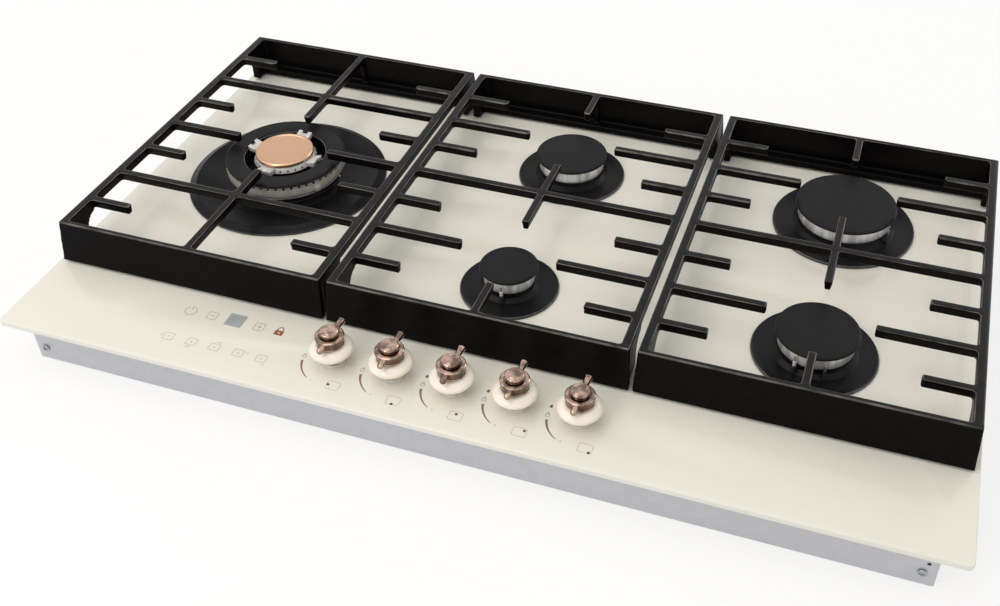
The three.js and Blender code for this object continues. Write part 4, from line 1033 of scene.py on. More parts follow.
def webs_at(x, y, half_x, half_y, signs, size, top, settings):
    """Fillets in the corners round a joint. A sign pair names the corner that gets one."""
    return [
        web((x + sx * half_x, y + sy * half_y), (sx, 0), (0, sy), size, top, settings)
        for sx, sy in signs
    ]


def upright_wall(x0, x1, y_top, y_foot, inward, settings, top, foot):
    """Front or back wall: its outer face leans out and its ends flare out towards the foot."""
    return block(
        (x0 - WALL_FLARE, x1 + WALL_FLARE, y_foot, y_foot + settings.wall_foot * inward, foot),
        (x0, x1, y_top, y_top + settings.wall_top * inward, top),
    )


def side_leg(x0, x1, y_wall, y_reach, top, foot, inward):
    """Corner leg under a side rail, with a curved inner edge."""
    curve = []
    for k in range(LEG_STEPS + 1):
        angle = math.pi / 2 * k / LEG_STEPS
        y = y_reach + inward * LEG_CURVE * (1 - math.cos(angle))
        curve.append((y, top - LEG_DROP - LEG_CURVE * (1 - math.sin(angle))))
    solids = [
        block((x0, x1, y_wall, ya, za - 3), (x0, x1, y_wall, yb, top - 1))
        for (ya, za), (yb, _) in zip(curve, curve[1:])
    ]
    solids.append(block((x0, x1, y_wall, y_reach, foot), (x0, x1, y_wall, y_reach, top - 1)))
    return solids


def grate_solids(name, settings):
    """The overlapping bars and walls of one pan support, before they are cast into one."""
    node = f"grate_{name}"
    (x0, x1), (y0, y1) = limits(node, "x"), limits(node, "y")
    top, foot = high(node, "z"), GLASS_TOP + FOOT_GAP
    cx = (x0 + x1) / 2
    front, back = y0 + WALL_LEAN, y1 - WALL_LEAN
    rail = settings.rail
    rows = [BURNER_AXIS[burner][1] for burner in ("middle_front", "left_wok", "middle_back")]
    front_row, wok_row, back_row = rows
    step = (wok_row - front_row) / 2
    solids = [
        upright_wall(x0, x1, front, y0, 1, settings, top, foot),
        upright_wall(x0, x1, back, y1, -1, settings, top, foot),
    ]
    # Ledge along the foot of each wall, inside.
    for y_foot, inward in ((y0, 1), (y1, -1)):
        near, far = y_foot + inward * LEDGE_NEAR, y_foot + inward * LEDGE_FAR
        solids.append(block(
            (x0, x1, near, far, foot),
            (x0, x1, near, far - inward * LEDGE_SLOPE, foot + LEDGE_HEIGHT),
        ))
    # Side rails with their corner legs.
    for rx0, rx1 in ((x0, x0 + rail), (x1 - rail, x1)):
        solids.append(block(
            (rx0 + RAIL_DRAFT, rx1 - RAIL_DRAFT, front + 1, back - 1, top - RAIL_HEIGHT),
            (rx0, rx1, front + 1, back - 1, top),
        ))
        solids += side_leg(rx0, rx1, front + 0.2, y0 + LEG_REACH, top, foot, 1)
        solids += side_leg(rx0, rx1, back - 0.2, y1 - LEG_REACH, top, foot, -1)
    # Each bar by its two ends, and which of them is a free tip.
    bars = []
    left_end, right_end = x0 + rail / 2, x1 - rail / 2

    def pair(y, tip):
        """Two bars that reach in from the rails and leave a gap in the middle."""
        bars.append(((left_end, y), (cx - tip, y), (0, 1)))
        bars.append(((cx + tip, y), (right_end, y), (1, 0)))

    for k in (-1, 1, 3, 5):
        pair(front_row + k * step, FINGER_TIP)
    if name == "left":
        bars += [((left_end, y), (right_end, y), (0, 0)) for y in (front_row, back_row)]
        pair(wok_row, WOK_TIP)
        bars.append(((cx, front + 2), (cx, wok_row - WOK_TIP), (0, 1)))
        bars.append(((cx, wok_row + WOK_TIP), (cx, back - 2), (1, 0)))
    else:
        bars.append(((left_end, wok_row), (right_end, wok_row), (0, 0)))
        pair(front_row, ROUND_TIP)
        pair(back_row, ROUND_TIP)
        bars.append(((cx, front + 2), (cx, front_row - ROUND_TIP), (0, 1)))
        bars.append(((cx, front_row + ROUND_TIP), (cx, back_row - ROUND_TIP), (1, 1)))
        bars.append(((cx, back_row + BACK_TIP), (cx, back - 2), (1, 0)))
    solids += [bar_between(*bar, top, settings) for bar in bars]
    solids += grate_webs(name, (x0, x1), (front, back), rows, top, settings)
    # Ribs under the spine, down the inside of each wall.
    for y_top, y_foot, inward in ((front, y0, 1), (back, y1, -1)):
        near = y_foot + inward * LEDGE_NEAR
        solids.append(block(
            (cx - RIB_HALF, cx + RIB_HALF, near, near + inward * 5, foot + 1),
            (cx - RIB_HALF, cx + RIB_HALF, y_top + inward * 2, y_top + inward * 13, top - 2),
        ))
    return solids


def grate_webs(name, ends, walls, rows, top, settings):
    """Fillets where bars meet the rails, the walls and each other."""
    x0, x1 = ends
    front, back = walls
    front_row, wok_row, back_row = rows
    cx, half = (x0 + x1) / 2, settings.bar_top / 2
    size, step = settings.fillet, (wok_row - front_row) / 2
    rail, wall = settings.rail, settings.wall_top
    webs = []
    for k in range(-1, 6):
        y = front_row + k * step
        webs += webs_at(x0 + rail, y, 0, half, ((1, 1), (1, -1)), size, top, settings)
        webs += webs_at(x1 - rail, y, 0, half, ((-1, 1), (-1, -1)), size, top, settings)
    for y, inward in ((front + wall, 1), (back - wall, -1)):
        webs += webs_at(x0 + rail, y, 0, 0, ((1, inward),), size, top, settings)
        webs += webs_at(x1 - rail, y, 0, 0, ((-1, inward),), size, top, settings)
        webs += webs_at(cx, y, half, 0, ((1, inward), (-1, inward)), size, top, settings)
    crossings = (front_row, back_row) if name == "left" else (wok_row,)
    corners = ((1, 1), (1, -1), (-1, 1), (-1, -1))
    for y in crossings:
        webs += webs_at(cx, y, half, half, corners, 0.5 * size, top, settings)
    return webs


def finish_casting(piece, top):
    """Give a casting its enamel, with a painted sheen on the top faces and a painted highlight on the
    upper edges.
    """
    piece.data.materials.clear()
    for finish in ("iron", "iron_painted_top_sheen", "iron_painted_edge_highlight"):
        piece.data.materials.append(FINISH[finish])
    for face in piece.data.polygons:
        below = top - face.center.z / MM
        # Painted sheen on the flat top faces, painted highlight on the rounded upper edges.
        if below < 0.9 and face.normal.z > 0.93:
            face.material_index = 1
        elif below < 1.6 and 0.4 < face.normal.z <= 0.93:
            face.material_index = 2


def build_grates():
    """The three pan supports, each cast into one smooth piece, with rubber pads."""
    settings = bpy.context.scene.cooktop_grates
    sole, pad_top = GLASS_TOP + 0.3, GLASS_TOP + 3.0
    pad = [(0, sole), (3.7, sole, 0.5), (3.9, pad_top), (0, pad_top)]
    for name in GRATES:
        node = f"grate_{name}"
        rough = gathered(f"pan_support_{name}", grate_solids(name, settings))
        cast = rough.modifiers.new("Casting", "REMESH")
        cast.mode = "VOXEL"
        cast.voxel_size = settings.grain * MM
        cast.use_smooth_shade = True
        relax = rough.modifiers.new("Round edges", "SMOOTH")
        relax.factor = 0.5
        relax.iterations = 3
        thin = rough.modifiers.new("Fewer faces", "DECIMATE")
        thin.ratio = 0.3
        piece = applied(rough)
        soften(piece.data, 60)
        finish_casting(piece, high(node, "z"))
        settle(piece, node, "cast_iron", node)
        pads = [
            turned("pad", "rubber", pad, (x, y), 24)
            for x in (low(node, "x") + 4, high(node, "x") - 4)
            for y in (low(node, "y") + 15, high(node, "y") - 15)
        ]
        settle(joined(f"pads_{name}", pads), node, "cast_iron")


# ------------------------------------------------------------------ burners

# Height of the faces that the crowns rest on, in mm.
CROWN_SEAT = GLASS_TOP + 11.3


def repaint(piece, finish, axis, wanted):
    """Give another finish to the faces that a test picks.

    The test gets a face's distance from the axis, its height and its normal.
    """
    piece.data.materials.append(FINISH[finish])
    for face in piece.data.polygons:
        spot = face.center / MM - Vector((*axis, 0))
        if wanted(spot.xy.length, spot.z, face.normal):
            face.material_index = 1


def paint_rim_highlight(piece, axis, inside, above, below=1000.0):
    """Paint a highlight on the outermost faces of a turned piece, in a band of heights, with the rim's
    finish.
    """
    repaint(piece, "rim", axis, lambda out, height, _: out > inside and above < height < below)


def build_plates():
    """The enamelled plates round the burners, with a rounded lip and a stepped middle."""
    settings = bpy.context.scene.cooktop_burners
    lip = settings.lip
    for name in BURNERS:
        node, axis = f"burner_plate_{name}", BURNER_AXIS[name]
        outer, crown = radius(node), radius(f"crown_{name}")
        base, top = limits(node, "z")
        if name == "left_wok":
            crown -= 2.4
            bore = 51.5
            profile = [
                (bore, base), (outer, base, 0.4), (outer, base + 1.3, 0.8),
                (outer - 3.2, base + 2.6, 2.0), (95, base + 5.6, 3.0), (93, base + 5.2, 2.0),
                (72, base + 3.4, 6.0), (66, base + 3.6, 3.0), (crown - 1, base + 6.4, 2.0),
                (crown - 2, top, 0.6), (bore, top),
            ]
        else:
            bore = crown - 6.5
            profile = [
                (bore, base), (outer, base, 0.4), (outer, base + 1.6, 1.0),
                (outer - lip * 0.5, base + 2.6, 0.9), (outer - lip, base + 2.2, 0.8),
                (outer - lip - 4, base + 2.0, 3.0), (crown + 4.5, base + 3.0, 4.0),
                (crown - 0.5, base + 5.6, 2.0), (crown - 2, top, 0.6), (bore, top),
            ]
        plate = turned(f"plate_{name}", "plate", profile, axis, settings.segments)
        # Painted highlight on the plate's outer lip.
        paint_rim_highlight(plate, axis, outer - 1.1, base + 0.6)
        settle(plate, "body", "black_enamel", node)


def build_crowns():
    """The cast crowns of the four round burners, with their ring of flame slots."""
    settings = bpy.context.scene.cooktop_burners
    base = CROWN_SEAT
    for name in ROUND_BURNERS:
        node, axis = f"crown_{name}", BURNER_AXIS[name]
        size, slot_base = radius(node), high(node, "z") - 1.5
        spigot = size - 9.9
        body = turned("crown_body", "aluminium", [
            (7, base - 8), (spigot, base - 8, 0.6), (spigot, base, 0.4), (size - 0.8, base, 0.6),
            (size + 0.2, base + 1.0, 0.8), (size + 0.2, base + 2.4, 0.8), (size - 0.3, slot_base, 0.3),
            (size - 4.4, slot_base), (size - 4.4, base + 3.4, 1.0), (7, base + 3.4),
        ], axis, settings.segments)
        count = round(TAU * size / settings.slot_pitch)
        width = TAU * (size - 2.2) / count - settings.slot
        teeth = bead_ring(
            "crown_teeth", count, size - 2.4, (*axis, slot_base + 0.7), (4.0, width, 1.6), "aluminium"
        )
        settle(joined(f"flame_crown_{name}", [body, teeth]), node, "crown_aluminium", node)


def build_caps():
    """The enamelled caps of the four round burners."""
    settings = bpy.context.scene.cooktop_burners
    for name in ROUND_BURNERS:
        node, axis = f"cap_{name}", BURNER_AXIS[name]
        size, top = radius(node), high(node, "z")
        seat = high(f"crown_{name}", "z") + 0.3
        rim = radius(f"crown_{name}") - 4.8
        cap = turned(f"burner_cap_{name}", "enamel", [
            (0, seat + 0.4), (rim - 2, seat + 0.4, 0.5), (rim - 2, seat - 1.6), (rim, seat - 1.6, 0.4),
            (rim, seat + 0.2, 0.5), (size - 1.6, seat, 0.4), (size, seat + 1.2, 0.9),
            (size - 0.35, top - 0.9, 0.9), (size - 2.2, top - 0.15, 1.8), (0, top),
        ], axis, settings.segments)
        # Painted highlight on the cap's lower outer rim.
        paint_rim_highlight(cap, axis, size - 0.7, seat + 0.2, seat + 1.6)
        settle(cap, node, "black_enamel", node)


def build_wok_burner():
    """The wok burner: outer crown, ring cap, inner crown with four lugs, and the middle cap."""
    settings = bpy.context.scene.cooktop_burners
    axis, sides = BURNER_AXIS["left_wok"], settings.segments
    base = CROWN_SEAT
    wall = radius("crown_left_wok") + 0.9
    slot_base = high("crown_left_wok", "z") - 2.6
    body = turned("wok_crown_body", "dull", [
        (12, base - 8), (48, base - 8, 0.6), (48, base, 0.4), (wall - 3.8, base, 0.4),
        (wall - 2.6, base + 0.9, 0.5), (wall - 2.6, base + 1.8, 0.5), (wall - 3.9, base + 2.6, 0.5),
        (wall - 3.2, base + 3.4, 0.8), (wall + 0.3, base + 5.2, 1.6), (wall - 0.9, slot_base, 0.4),
        (wall - 9, slot_base), (48.4, slot_base - 1), (48, base + 3.4, 1.0), (20, base + 3.4, 0.8),
        (20, base + 7.5, 0.5), (12, base + 7.5),
    ], axis, sides)

    def painted_shade_inside(out, height, _):
        """Painted shade: between the two crowns, and behind the slots, the casting is painted black."""
        inside = height > base + 3 and out < 48.6
        return inside or (height > slot_base - 1.2 and out < wall - 1.6)

    # Painted shade: the deep faces inside the crown get the black plate finish.
    repaint(body, "plate", axis, painted_shade_inside)
    count, slot = 48, 2.3
    width = TAU * (wall - 1) / count - slot
    teeth = bead_ring(
        "wok_crown_teeth", count, wall - 5.2, (*axis, slot_base + 1.2), (8.6, width, 2.7), "dull"
    )
    bosses = bead_ring(
        "wok_crown_boss", 3, wall - 1.8, (*axis, base + 6.6), (5, 6.6, 8.0), "inner", 89.6, 1.8
    )
    crown = joined("wok_flame_crown", [body, teeth, bosses])
    settle(crown, "crown_left_wok", "crown_aluminium", "crown_left_wok")

    seat, lid = limits("cap_left_wok", "z")
    outer, inner = radius("cap_left_wok") - 0.9, 42.3
    ring = turned("ring_body", "enamel", [
        (inner + 0.8, seat, 0.4), (outer - 1.6, seat, 0.4), (outer, seat + 1.3, 1.0),
        (outer - 0.4, lid - 0.9, 0.9), (outer - 2.4, lid - 0.1, 1.8), (inner + 1.2, lid - 0.5, 1.2),
        (inner, lid - 1.6, 0.7),
    ], axis, sides)
    # Painted highlight on the ring cap's lower outer rim.
    paint_rim_highlight(ring, axis, outer - 0.7, seat + 0.2, seat + 1.8)
    lining = turned("ring_lining", "cast", [
        (inner - 0.1, seat + 0.6), (inner + 0.9, seat + 0.6),
        (inner + 0.9, lid - 1.9), (inner - 0.1, lid - 1.9),
    ], axis, sides)
    settle(joined("wok_ring_cap", [ring, lining]), "cap_left_wok", "black_enamel", "cap_left_wok")

    build_inner_crown(axis, base, sides)

    seat, lid = high("wok_inner_crown", "z") + 0.3, high("wok_centre_cap", "z")
    size = settings.wok_cap
    cap = turned("wok_middle_cap", "copper", [
        (0, seat), (24, seat, 0.3), (24, seat - 1.4), (26, seat - 1.4, 0.3), (26, seat, 0.3),
        (size - 0.8, seat, 0.5), (size, seat + 1.0, 0.9), (size - 0.1, lid - 1.5, 1.0),
        (size - 1.4, lid, 1.4), (size - 3.2, lid - 0.2, 0.8), (size - 4.2, lid - 0.9, 0.6),
        (0, lid - 0.7),
    ], axis, sides)
    settle(cap, "wok_centre_cap", "copper_plate", "wok_centre_cap")


def fork_solids(top):
    """One lug of the inner crown along +X: a root block and two prongs that rise outwards."""
    solids = [hexahedron(
        [(27.5, -7.8, top - 5.2), (38.0, -7.0, top - 4.6), (38.0, 7.0, top - 4.6), (27.5, 7.8, top - 5.2)],
        [(27.5, -7.8, top - 0.2), (38.6, -7.2, top + 0.7), (38.6, 7.2, top + 0.7), (27.5, 7.8, top - 0.2)],
    )]
    for a, b, c, d in ((-7.8, -2.6, -8.0, -3.0), (2.6, 7.8, 3.0, 8.0)):
        solids.append(hexahedron(
            [(33.0, a, top - 4.8), (39.6, c, top - 4.0), (39.6, d, top - 4.0), (33.0, b, top - 4.8)],
            [(33.0, a, top), (40.6, c, top + 2.4), (40.6, d, top + 2.4), (33.0, b, top)],
        ))
    return solids


def build_inner_crown(axis, base, sides):
    """Inner crown of the wok burner: a flared cup, four forked lugs, and dark discs of painted shade for
    its small round ports.
    """
    top = high("wok_inner_crown", "z")
    foot = base + 7.8
    slope_top, slope_foot = Vector((30.2, top - 0.3)), Vector((32.6, top - 5.2))
    body = turned("inner_body", "inner", [
        (7, base), (11.6, base, 0.5), (11.6, foot, 0.5), (23, foot, 0.8), (25.5, foot + 3, 2.0),
        (31.8, top - 6.0, 0.8), (*slope_foot, 0.5), (*slope_top, 0.5), (26.9, top, 0.4),
        (26.9, foot + 3.4, 0.6), (7, foot + 3.4),
    ], axis, sides)
    # Small round ports on the slope between the lugs, drawn as dark discs: painted shade for the holes.
    along = (slope_foot - slope_top).normalized()
    off_slope = Vector((-along.y, along.x))
    spot = slope_top + (slope_foot - slope_top) * 0.62
    lugs, port_shade_discs = [], []
    for quarter in range(4):
        turn = Matrix.Rotation(math.pi / 2 * quarter - math.radians(5), 3, "Z")
        for points, faces in fork_solids(top):
            moved = [turn @ Vector(point) + Vector((*axis, 0)) for point in points]
            lug = bevelled(gathered("lug", [(moved, faces)], 50), 0.7, 3, 50)
            lugs.append(dress(lug, "inner"))
        for k in (-1.5, -0.5, 0.5, 1.5):
            angle = math.radians(40 + 90 * quarter + k * 14)
            ends = []
            for depth in (-0.4, 0.12):
                out, height = spot + off_slope * depth
                ends.append((axis[0] + out * math.cos(angle), axis[1] + out * math.sin(angle), height))
            port_shade_discs.append(dress(cylinder_between("port", *ends, 1.1, 14), "plastic"))
    piece = joined("wok_inner_flame_crown", [body, *lugs, *port_shade_discs])
    settle(piece, "wok_inner_crown", "crown_aluminium", "wok_inner_crown")


def build_pins():
    """Spark electrodes with their ceramic sleeves, and the flame sensors."""
    for name in BURNERS:
        node = f"spark_electrode_{name}"
        axis, (base, tip) = middle(node), limits(node, "z")
        electrode = joined(f"electrode_{name}", [
            turned("holder", "plastic", [
                (0, base), (2.0, base, 0.3), (2.0, tip - 9.0, 0.4), (0, tip - 9.0),
            ], axis, 24),
            turned("sleeve", "ceramic", [
                (0, tip - 9.1), (1.6, tip - 9.1), (1.6, tip - 5.4, 0.4), (1.2, tip - 4.6, 0.3),
                (0, tip - 4.6),
            ], axis, 24),
            turned("wire", "steel", [
                (0, tip - 4.7), (0.7, tip - 4.7), (0.7, tip - 1.4, 0.2), (1.1, tip - 1.2, 0.2),
                (1.1, tip - 0.2, 0.3), (0, tip),
            ], axis, 16),
        ])
        settle(electrode, "body", "ceramic", node)

        node = f"flame_sensor_{name}"
        axis, (base, tip) = middle(node), limits(node, "z")
        sensor = joined(f"sensor_{name}", [
            turned("holder", "plastic", [
                (0, base), (3.5, base, 0.3), (3.5, base + 2.6, 0.3), (1.5, base + 2.6),
                (1.5, tip - 6.0, 0.2), (0, tip - 6.0),
            ], axis, 20),
            turned("rod", "steel", [
                (0, tip - 6.1), (1.0, tip - 6.1), (1.0, tip - 0.9, 0.6), (0, tip),
            ], axis, 20),
        ])
        settle(sensor, "body", "steel_pin", node)


# ------------------------------------------------------------------ knobs

# Height of a lever's underside and of its bar's axis, in mm.
LEVER_BASE, BAR_HEIGHT = GLASS_TOP + 22.0, GLASS_TOP + 28.2


def build_knobs():
    """The cream bowls and the plated levers."""
    settings = bpy.context.scene.cooktop_knobs
    for i in KNOBS:
        node, axis = f"knob_bowl_{i}", KNOB_AXIS[i]
        (base, top), size = limits(node, "z"), radius(node)
        bowl = turned(f"bowl_{i}", "cream", [
            (4.4, base), (6.6, base, 0.4), (6.8, base + 2.0, 0.6), (9.8, base + 3.6, 1.5),
            (16.6, base + 8.2, 5.5), (size + 0.1, base + 12.4, 4.0), (19.0, base + 15.2, 4.0),
            (16.4, top + 0.8, 2.5), (14.0, top + 2.0, 0.6), (4.4, top + 2.0),
        ], axis, 96, 9)
        settle(bowl, f"knob_{i}", "cream_knob", node)
        seal = turned(f"knob_seal_{i}", "seal", [
            (7.1, GLASS_TOP), (11.9, GLASS_TOP, 0.3), (11.6, GLASS_TOP + 1.1, 0.5),
            (9.5, GLASS_TOP + 1.3, 0.3), (9.0, GLASS_TOP + 2.1, 0.5), (7.1, GLASS_TOP + 2.1, 0.3),
        ], axis, 64)
        settle(seal, "body", "cream_knob")
        build_lever(i, axis, settings)


def build_lever(i, axis, settings):
    """One plated lever: turned body, button, through bar and stem."""
    node = f"knob_lever_{i}"
    base, tip = LEVER_BASE, high(node, "z") + 0.8
    collar, neck = settings.collar, base + 11.8
    body = turned("lever_body", "rose", [
        (0, base), (11.9, base, 0.4), (12.2, base + 0.8, 0.4), (11.8, base + 1.6, 0.6),
        (12.2, base + 5.4, 2.0), (12.9, base + 7.8, 0.6), (12.9, base + 8.8, 0.5),
        (11.9, base + 9.5, 0.6), (9.6, base + 9.8, 0.3), (7.4, base + 10.0, 0.3), (7.4, neck, 0.3),
        (collar - 0.5, neck, 0.3), (collar, neck + 0.6, 0.4), (collar, tip - 1.2, 0.8),
        (collar - 0.9, tip - 0.45, 0.5), (collar - 1.6, tip - 0.5, 0.5), (5.0, tip - 0.1, 2.0),
        (0, tip),
    ], axis, 96, 6)
    # The bar's outline along its own axis, from the rounded front end to the flared back.
    front, back = (value - axis[1] for value in limits(node, "y"))
    nose, tail = settings.nose, settings.tail
    outline = [(0, front)]
    for k in range(1, 7):
        angle = math.pi / 2 * k / 6
        outline.append((nose * math.sin(angle), front + nose * (1 - math.cos(angle))))
    outline += [
        (nose * 0.96, 0), (nose * 0.92, back - 9), (tail * 0.97, back - 0.8), (tail, back - 0.4, 0.2),
        (tail - 0.5, back, 0.3), (0, back),
    ]
    bar = turned("lever_bar", "rose", outline, (0, 0), 32)
    place = Matrix.Translation(Vector((*axis, BAR_HEIGHT)) * MM)
    bar.data.transform(place @ Matrix.Rotation(math.radians(-90), 4, "X"))
    stem = turned("lever_stem", "rose", [
        (0, low(node, "z")), (3.9, low(node, "z"), 0.4), (3.9, base + 1), (0, base + 1),
    ], axis, 24)

    def painted_dark_faces(out, height, normal):
        """Painted dark: painted reflection on the side wall, painted shade in the groove under the button.
        """
        wall = 1.6 < height - base < 8.7 and abs(normal.z) < 0.5
        return wall or (9.3 < height - base < 11.9 and out < 9.8)

    # Painted reflection on the side wall and painted shade in the groove, in the darker plating.
    repaint(body, "rose_painted_dark", axis, painted_dark_faces)
    settle(joined(f"lever_{i}", [body, bar, stem]), f"knob_{i}", "copper_plate", node)


# ------------------------------------------------------------------ pieces kept from the solids

KEPT = {
    "gas_rail": "steel",
    "ignition_module": "plastic",
    "touch_board": "board",
    **{f"burner_cup_{name}": "cast" for name in BURNERS},
    **{f"tap_body_{i}": "brass" for i in KNOBS},
    **{f"tap_plug_{i}": "brass" for i in KNOBS},
}


def finish_kept():
    """Give each solid that is shown as it is its own finish."""
    for node, finish in KEPT.items():
        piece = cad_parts[node]
        if not piece.material_slots:
            piece.data.materials.append(None)
        for place in piece.material_slots:
            place.link = "OBJECT"
            place.material = FINISH[finish]


# ------------------------------------------------------------------ camera, floor and light

# The photograph's camera, worked out from the cooktop's own straight lines and circles: its
# angles in degrees, the lens in mm, the shifts as shares of the picture and its place in m.
YAW, PITCH, ROLL = (math.radians(angle) for angle in (18.813, 38.322, -0.457))
LENS, SHIFT_X, SHIFT_Y = 42.018, -0.04523, -0.06334
CAMERA_PLACE = (0.301458, -0.840151, 0.767996)

# What the lights look at, in m, and the floor's half width and height, in mm.
AIM = (0, 0, 0.05)
FLOOR_HALF, FLOOR_HEIGHT = 6000, -0.3


def build_camera():
    """The photograph's camera."""
    ahead = Vector((-math.sin(YAW) * math.cos(PITCH), math.cos(YAW) * math.cos(PITCH), -math.sin(PITCH)))
    level = Vector((math.cos(YAW), math.sin(YAW), 0))
    raised = level.cross(ahead)
    right = level * math.cos(ROLL) + raised * math.sin(ROLL)
    up = -level * math.sin(ROLL) + raised * math.cos(ROLL)
    data = bpy.data.cameras.new("photo_camera")
    data.sensor_width = 36
    data.lens = LENS
    data.shift_x = SHIFT_X
    data.shift_y = SHIFT_Y
    data.clip_start = 0.01
    camera = new_object("photo_camera", data)
    matrix = Matrix((right, up, -ahead)).transposed().to_4x4()
    matrix.translation = Vector(CAMERA_PLACE)
    camera.matrix_world = matrix
    bpy.context.scene.camera = camera


def area_light(name, place, size, power):
    """A soft square light that looks at the cooktop."""
    data = bpy.data.lights.new(name, "AREA")
    data.shape = "SQUARE"
    data.size = size
    data.energy = power
    light = new_object(name, data)
    turn = (Vector(AIM) - Vector(place)).to_track_quat("-Z", "Y").to_matrix().to_4x4()
    light.matrix_world = Matrix.Translation(place) @ turn


def background_rays(tree):
    """1 for the rays that show the background: straight, mirrored or seen through glass."""
    paths = add_node(tree, "ShaderNodeLightPath")
    shown = paths.outputs["Is Camera Ray"]
    for kind in ("Is Glossy Ray", "Is Transmission Ray"):
        either = add_node(
            tree, "ShaderNodeMath", {"operation": "MAXIMUM"}, {0: shown, 1: paths.outputs[kind]}
        )
        shown = either.outputs[0]
    return shown


def build_floor():
    """A plain pale floor, which isn't a piece of the cooktop."""
    settings = bpy.context.scene.cooktop_stage
    half, z = FLOOR_HALF, FLOOR_HEIGHT
    corners = [(-half, -half, z), (half, -half, z), (half, half, z), (-half, half, z)]
    floor = mesh_piece("floor", corners, [(0, 1, 2, 3)])
    # Matt painted board: white to the camera except where the cooktop shades it.
    item = bpy.data.materials.new("Painted board, pale")
    item.use_nodes = True
    tree = item.node_tree
    tree.nodes.clear()
    paint = add_node(tree, "ShaderNodeBsdfDiffuse", {"Color": (*settings.floor, 1)})
    glow = add_node(tree, "ShaderNodeEmission", {"Color": (1, 1, 1, 1), "Strength": 1.0})
    share = add_node(
        tree, "ShaderNodeMath", {"operation": "MULTIPLY", 1: settings.whiteness},
        {0: background_rays(tree)},
    )
    mixed = add_node(
        tree, "ShaderNodeMixShader", None,
        {0: share.outputs[0], 1: paint.outputs[0], 2: glow.outputs[0]},
    )
    add_node(tree, "ShaderNodeOutputMaterial", None, {"Surface": mixed.outputs[0]})
    floor.data.materials.append(item)


def build_light():
    """Soft lights in a white surround."""
    scene = bpy.context.scene
    settings = scene.cooktop_stage
    world = bpy.data.worlds.new("studio")
    world.use_nodes = True
    tree = world.node_tree
    tree.nodes.clear()
    level = add_node(
        tree, "ShaderNodeMapRange", {"To Min": settings.world_level, "To Max": 1.0},
        {"Value": background_rays(tree)},
    )
    sky = add_node(
        tree, "ShaderNodeBackground", {"Color": (1.0, 1.0, 1.0, 1)}, {"Strength": level.outputs[0]}
    )
    add_node(tree, "ShaderNodeOutputWorld", None, {"Surface": sky.outputs[0]})
    scene.world = world
    scene.view_settings.view_transform = "Standard"
    area_light("key_light", (-0.9, -0.6, 2.2), 2.4, settings.key_power)
    area_light("fill_light", (-0.75, -1.8, 1.5), 0.7, settings.fill_power)
    area_light("rim_light", (1.3, 1.9, 1.1), 0.7, settings.rim_power)


# ------------------------------------------------------------------ operators

def prepare():
    """Make the finishes once, before the first piece is built."""
    if not FINISH:
        FINISH.update(make_materials())


class COOKTOP_OT_camera(bpy.types.Operator):
    """Set the photograph's camera"""

    bl_idname = "cooktop.camera"
    bl_label = "Camera"
    bl_options = {"REGISTER", "UNDO"}

    def execute(self, context):
        build_camera()
        return {"FINISHED"}


class COOKTOP_OT_stage(bpy.types.Operator):
    """Lay the floor and set the lights"""

    bl_idname = "cooktop.stage"
    bl_label = "Floor and light"
    bl_options = {"REGISTER", "UNDO"}

    def execute(self, context):
        build_floor()
        build_light()
        return {"FINISHED"}


class COOKTOP_OT_glass(bpy.types.Operator):
    """Build the glass plate"""

    bl_idname = "cooktop.glass"
    bl_label = "Glass plate"
    bl_options = {"REGISTER", "UNDO"}

    def execute(self, context):
        prepare()
        build_glass()
        return {"FINISHED"}


class COOKTOP_OT_prints(bpy.types.Operator):
    """Print the touch keys and the knob scales"""

    bl_idname = "cooktop.prints"
    bl_label = "Prints"
    bl_options = {"REGISTER", "UNDO"}

    def execute(self, context):
        prepare()
        build_prints()
        return {"FINISHED"}


class COOKTOP_OT_tray(bpy.types.Operator):
    """Build the steel tray and its screws"""

    bl_idname = "cooktop.tray"
    bl_label = "Tray"
    bl_options = {"REGISTER", "UNDO"}

    def execute(self, context):
        prepare()
        build_tray()
        return {"FINISHED"}


class COOKTOP_OT_plates(bpy.types.Operator):
    """Build the enamelled burner plates"""

    bl_idname = "cooktop.plates"
    bl_label = "Burner plates"
    bl_options = {"REGISTER", "UNDO"}

    def execute(self, context):
        prepare()
        build_plates()
        return {"FINISHED"}


class COOKTOP_OT_crowns(bpy.types.Operator):
    """Build the crowns of the round burners"""

    bl_idname = "cooktop.crowns"
    bl_label = "Crowns"
    bl_options = {"REGISTER", "UNDO"}

    def execute(self, context):
        prepare()
        build_crowns()
        return {"FINISHED"}


class COOKTOP_OT_caps(bpy.types.Operator):
    """Build the caps of the round burners"""

    bl_idname = "cooktop.caps"
    bl_label = "Caps"
    bl_options = {"REGISTER", "UNDO"}

    def execute(self, context):
        prepare()
        build_caps()
        return {"FINISHED"}


class COOKTOP_OT_wok(bpy.types.Operator):
    """Build the wok burner"""

    bl_idname = "cooktop.wok"
    bl_label = "Wok burner"
    bl_options = {"REGISTER", "UNDO"}

    def execute(self, context):
        prepare()
        build_wok_burner()
        return {"FINISHED"}


class COOKTOP_OT_pins(bpy.types.Operator):
    """Build the spark electrodes and flame sensors"""

    bl_idname = "cooktop.pins"
    bl_label = "Electrodes"
    bl_options = {"REGISTER", "UNDO"}

    def execute(self, context):
        prepare()
        build_pins()
        return {"FINISHED"}


class COOKTOP_OT_knobs(bpy.types.Operator):
    """Build the five knobs"""

    bl_idname = "cooktop.knobs"
    bl_label = "Knobs"
    bl_options = {"REGISTER", "UNDO"}

    def execute(self, context):
        prepare()
        build_knobs()
        return {"FINISHED"}


class COOKTOP_OT_grates(bpy.types.Operator):
    """Cast the three pan supports"""

    bl_idname = "cooktop.grates"
    bl_label = "Pan supports"
    bl_options = {"REGISTER", "UNDO"}

    def execute(self, context):
        prepare()
        build_grates()
        return {"FINISHED"}


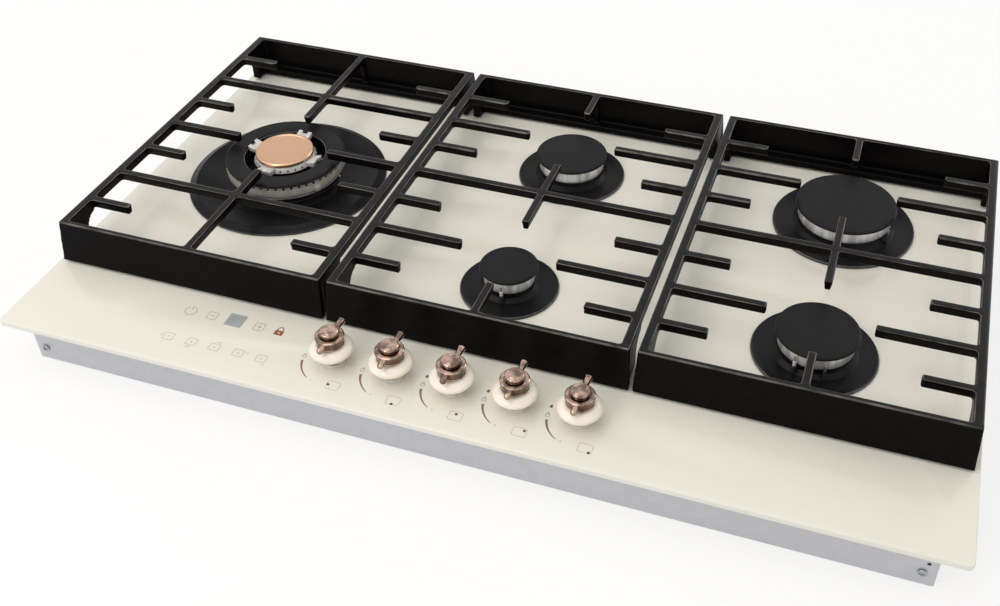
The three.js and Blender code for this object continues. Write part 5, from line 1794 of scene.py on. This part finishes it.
class COOKTOP_OT_kept(bpy.types.Operator):
    """Finish the pieces inside the tray"""

    bl_idname = "cooktop.kept"
    bl_label = "Inner pieces"
    bl_options = {"REGISTER", "UNDO"}

    def execute(self, context):
        prepare()
        finish_kept()
        return {"FINISHED"}


OPERATORS = (
    COOKTOP_OT_camera, COOKTOP_OT_stage, COOKTOP_OT_glass, COOKTOP_OT_prints, COOKTOP_OT_tray,
    COOKTOP_OT_plates, COOKTOP_OT_crowns, COOKTOP_OT_caps, COOKTOP_OT_wok, COOKTOP_OT_pins,
    COOKTOP_OT_knobs, COOKTOP_OT_grates, COOKTOP_OT_kept,
)


class COOKTOP_PT_pieces(bpy.types.Panel):
    """Lists the cooktop's settings and its pieces."""

    bl_label = "Cooktop"
    bl_idname = "COOKTOP_PT_pieces"
    bl_space_type = "VIEW_3D"
    bl_region_type = "UI"
    bl_category = "Cooktop"

    def draw(self, context):
        layout = self.layout
        for attribute in SETTINGS:
            group = getattr(context.scene, attribute)
            column = layout.box().column()
            for key in group.bl_rna.properties.keys():
                if key not in ("rna_type", "name"):
                    column.prop(group, key)
        for item in OPERATORS:
            layout.operator(item.bl_idname)


SETTINGS = {
    "cooktop_glass": CooktopGlassSettings,
    "cooktop_grates": CooktopGrateSettings,
    "cooktop_burners": CooktopBurnerSettings,
    "cooktop_knobs": CooktopKnobSettings,
    "cooktop_stage": CooktopStageSettings,
}
CLASSES = (*SETTINGS.values(), *OPERATORS, COOKTOP_PT_pieces)


def register():
    """Add the classes and the scene's settings."""
    for item in CLASSES:
        bpy.utils.register_class(item)
    for attribute, group in SETTINGS.items():
        setattr(bpy.types.Scene, attribute, bpy.props.PointerProperty(type=group))


def unregister():
    """Take the settings and the classes away again."""
    for attribute in SETTINGS:
        delattr(bpy.types.Scene, attribute)
    for item in reversed(CLASSES):
        bpy.utils.unregister_class(item)


def main():
    """Build everything in order."""
    register()
    bpy.ops.cooktop.camera()
    bpy.ops.cooktop.stage()
    bpy.ops.cooktop.glass()
    bpy.ops.cooktop.prints()
    bpy.ops.cooktop.tray()
    bpy.ops.cooktop.plates()
    bpy.ops.cooktop.crowns()
    bpy.ops.cooktop.caps()
    bpy.ops.cooktop.wok()
    bpy.ops.cooktop.pins()
    bpy.ops.cooktop.knobs()
    bpy.ops.cooktop.grates()
    bpy.ops.cooktop.kept()
    bpy.context.view_layer.update()


if __name__ == "__main__":
    main()
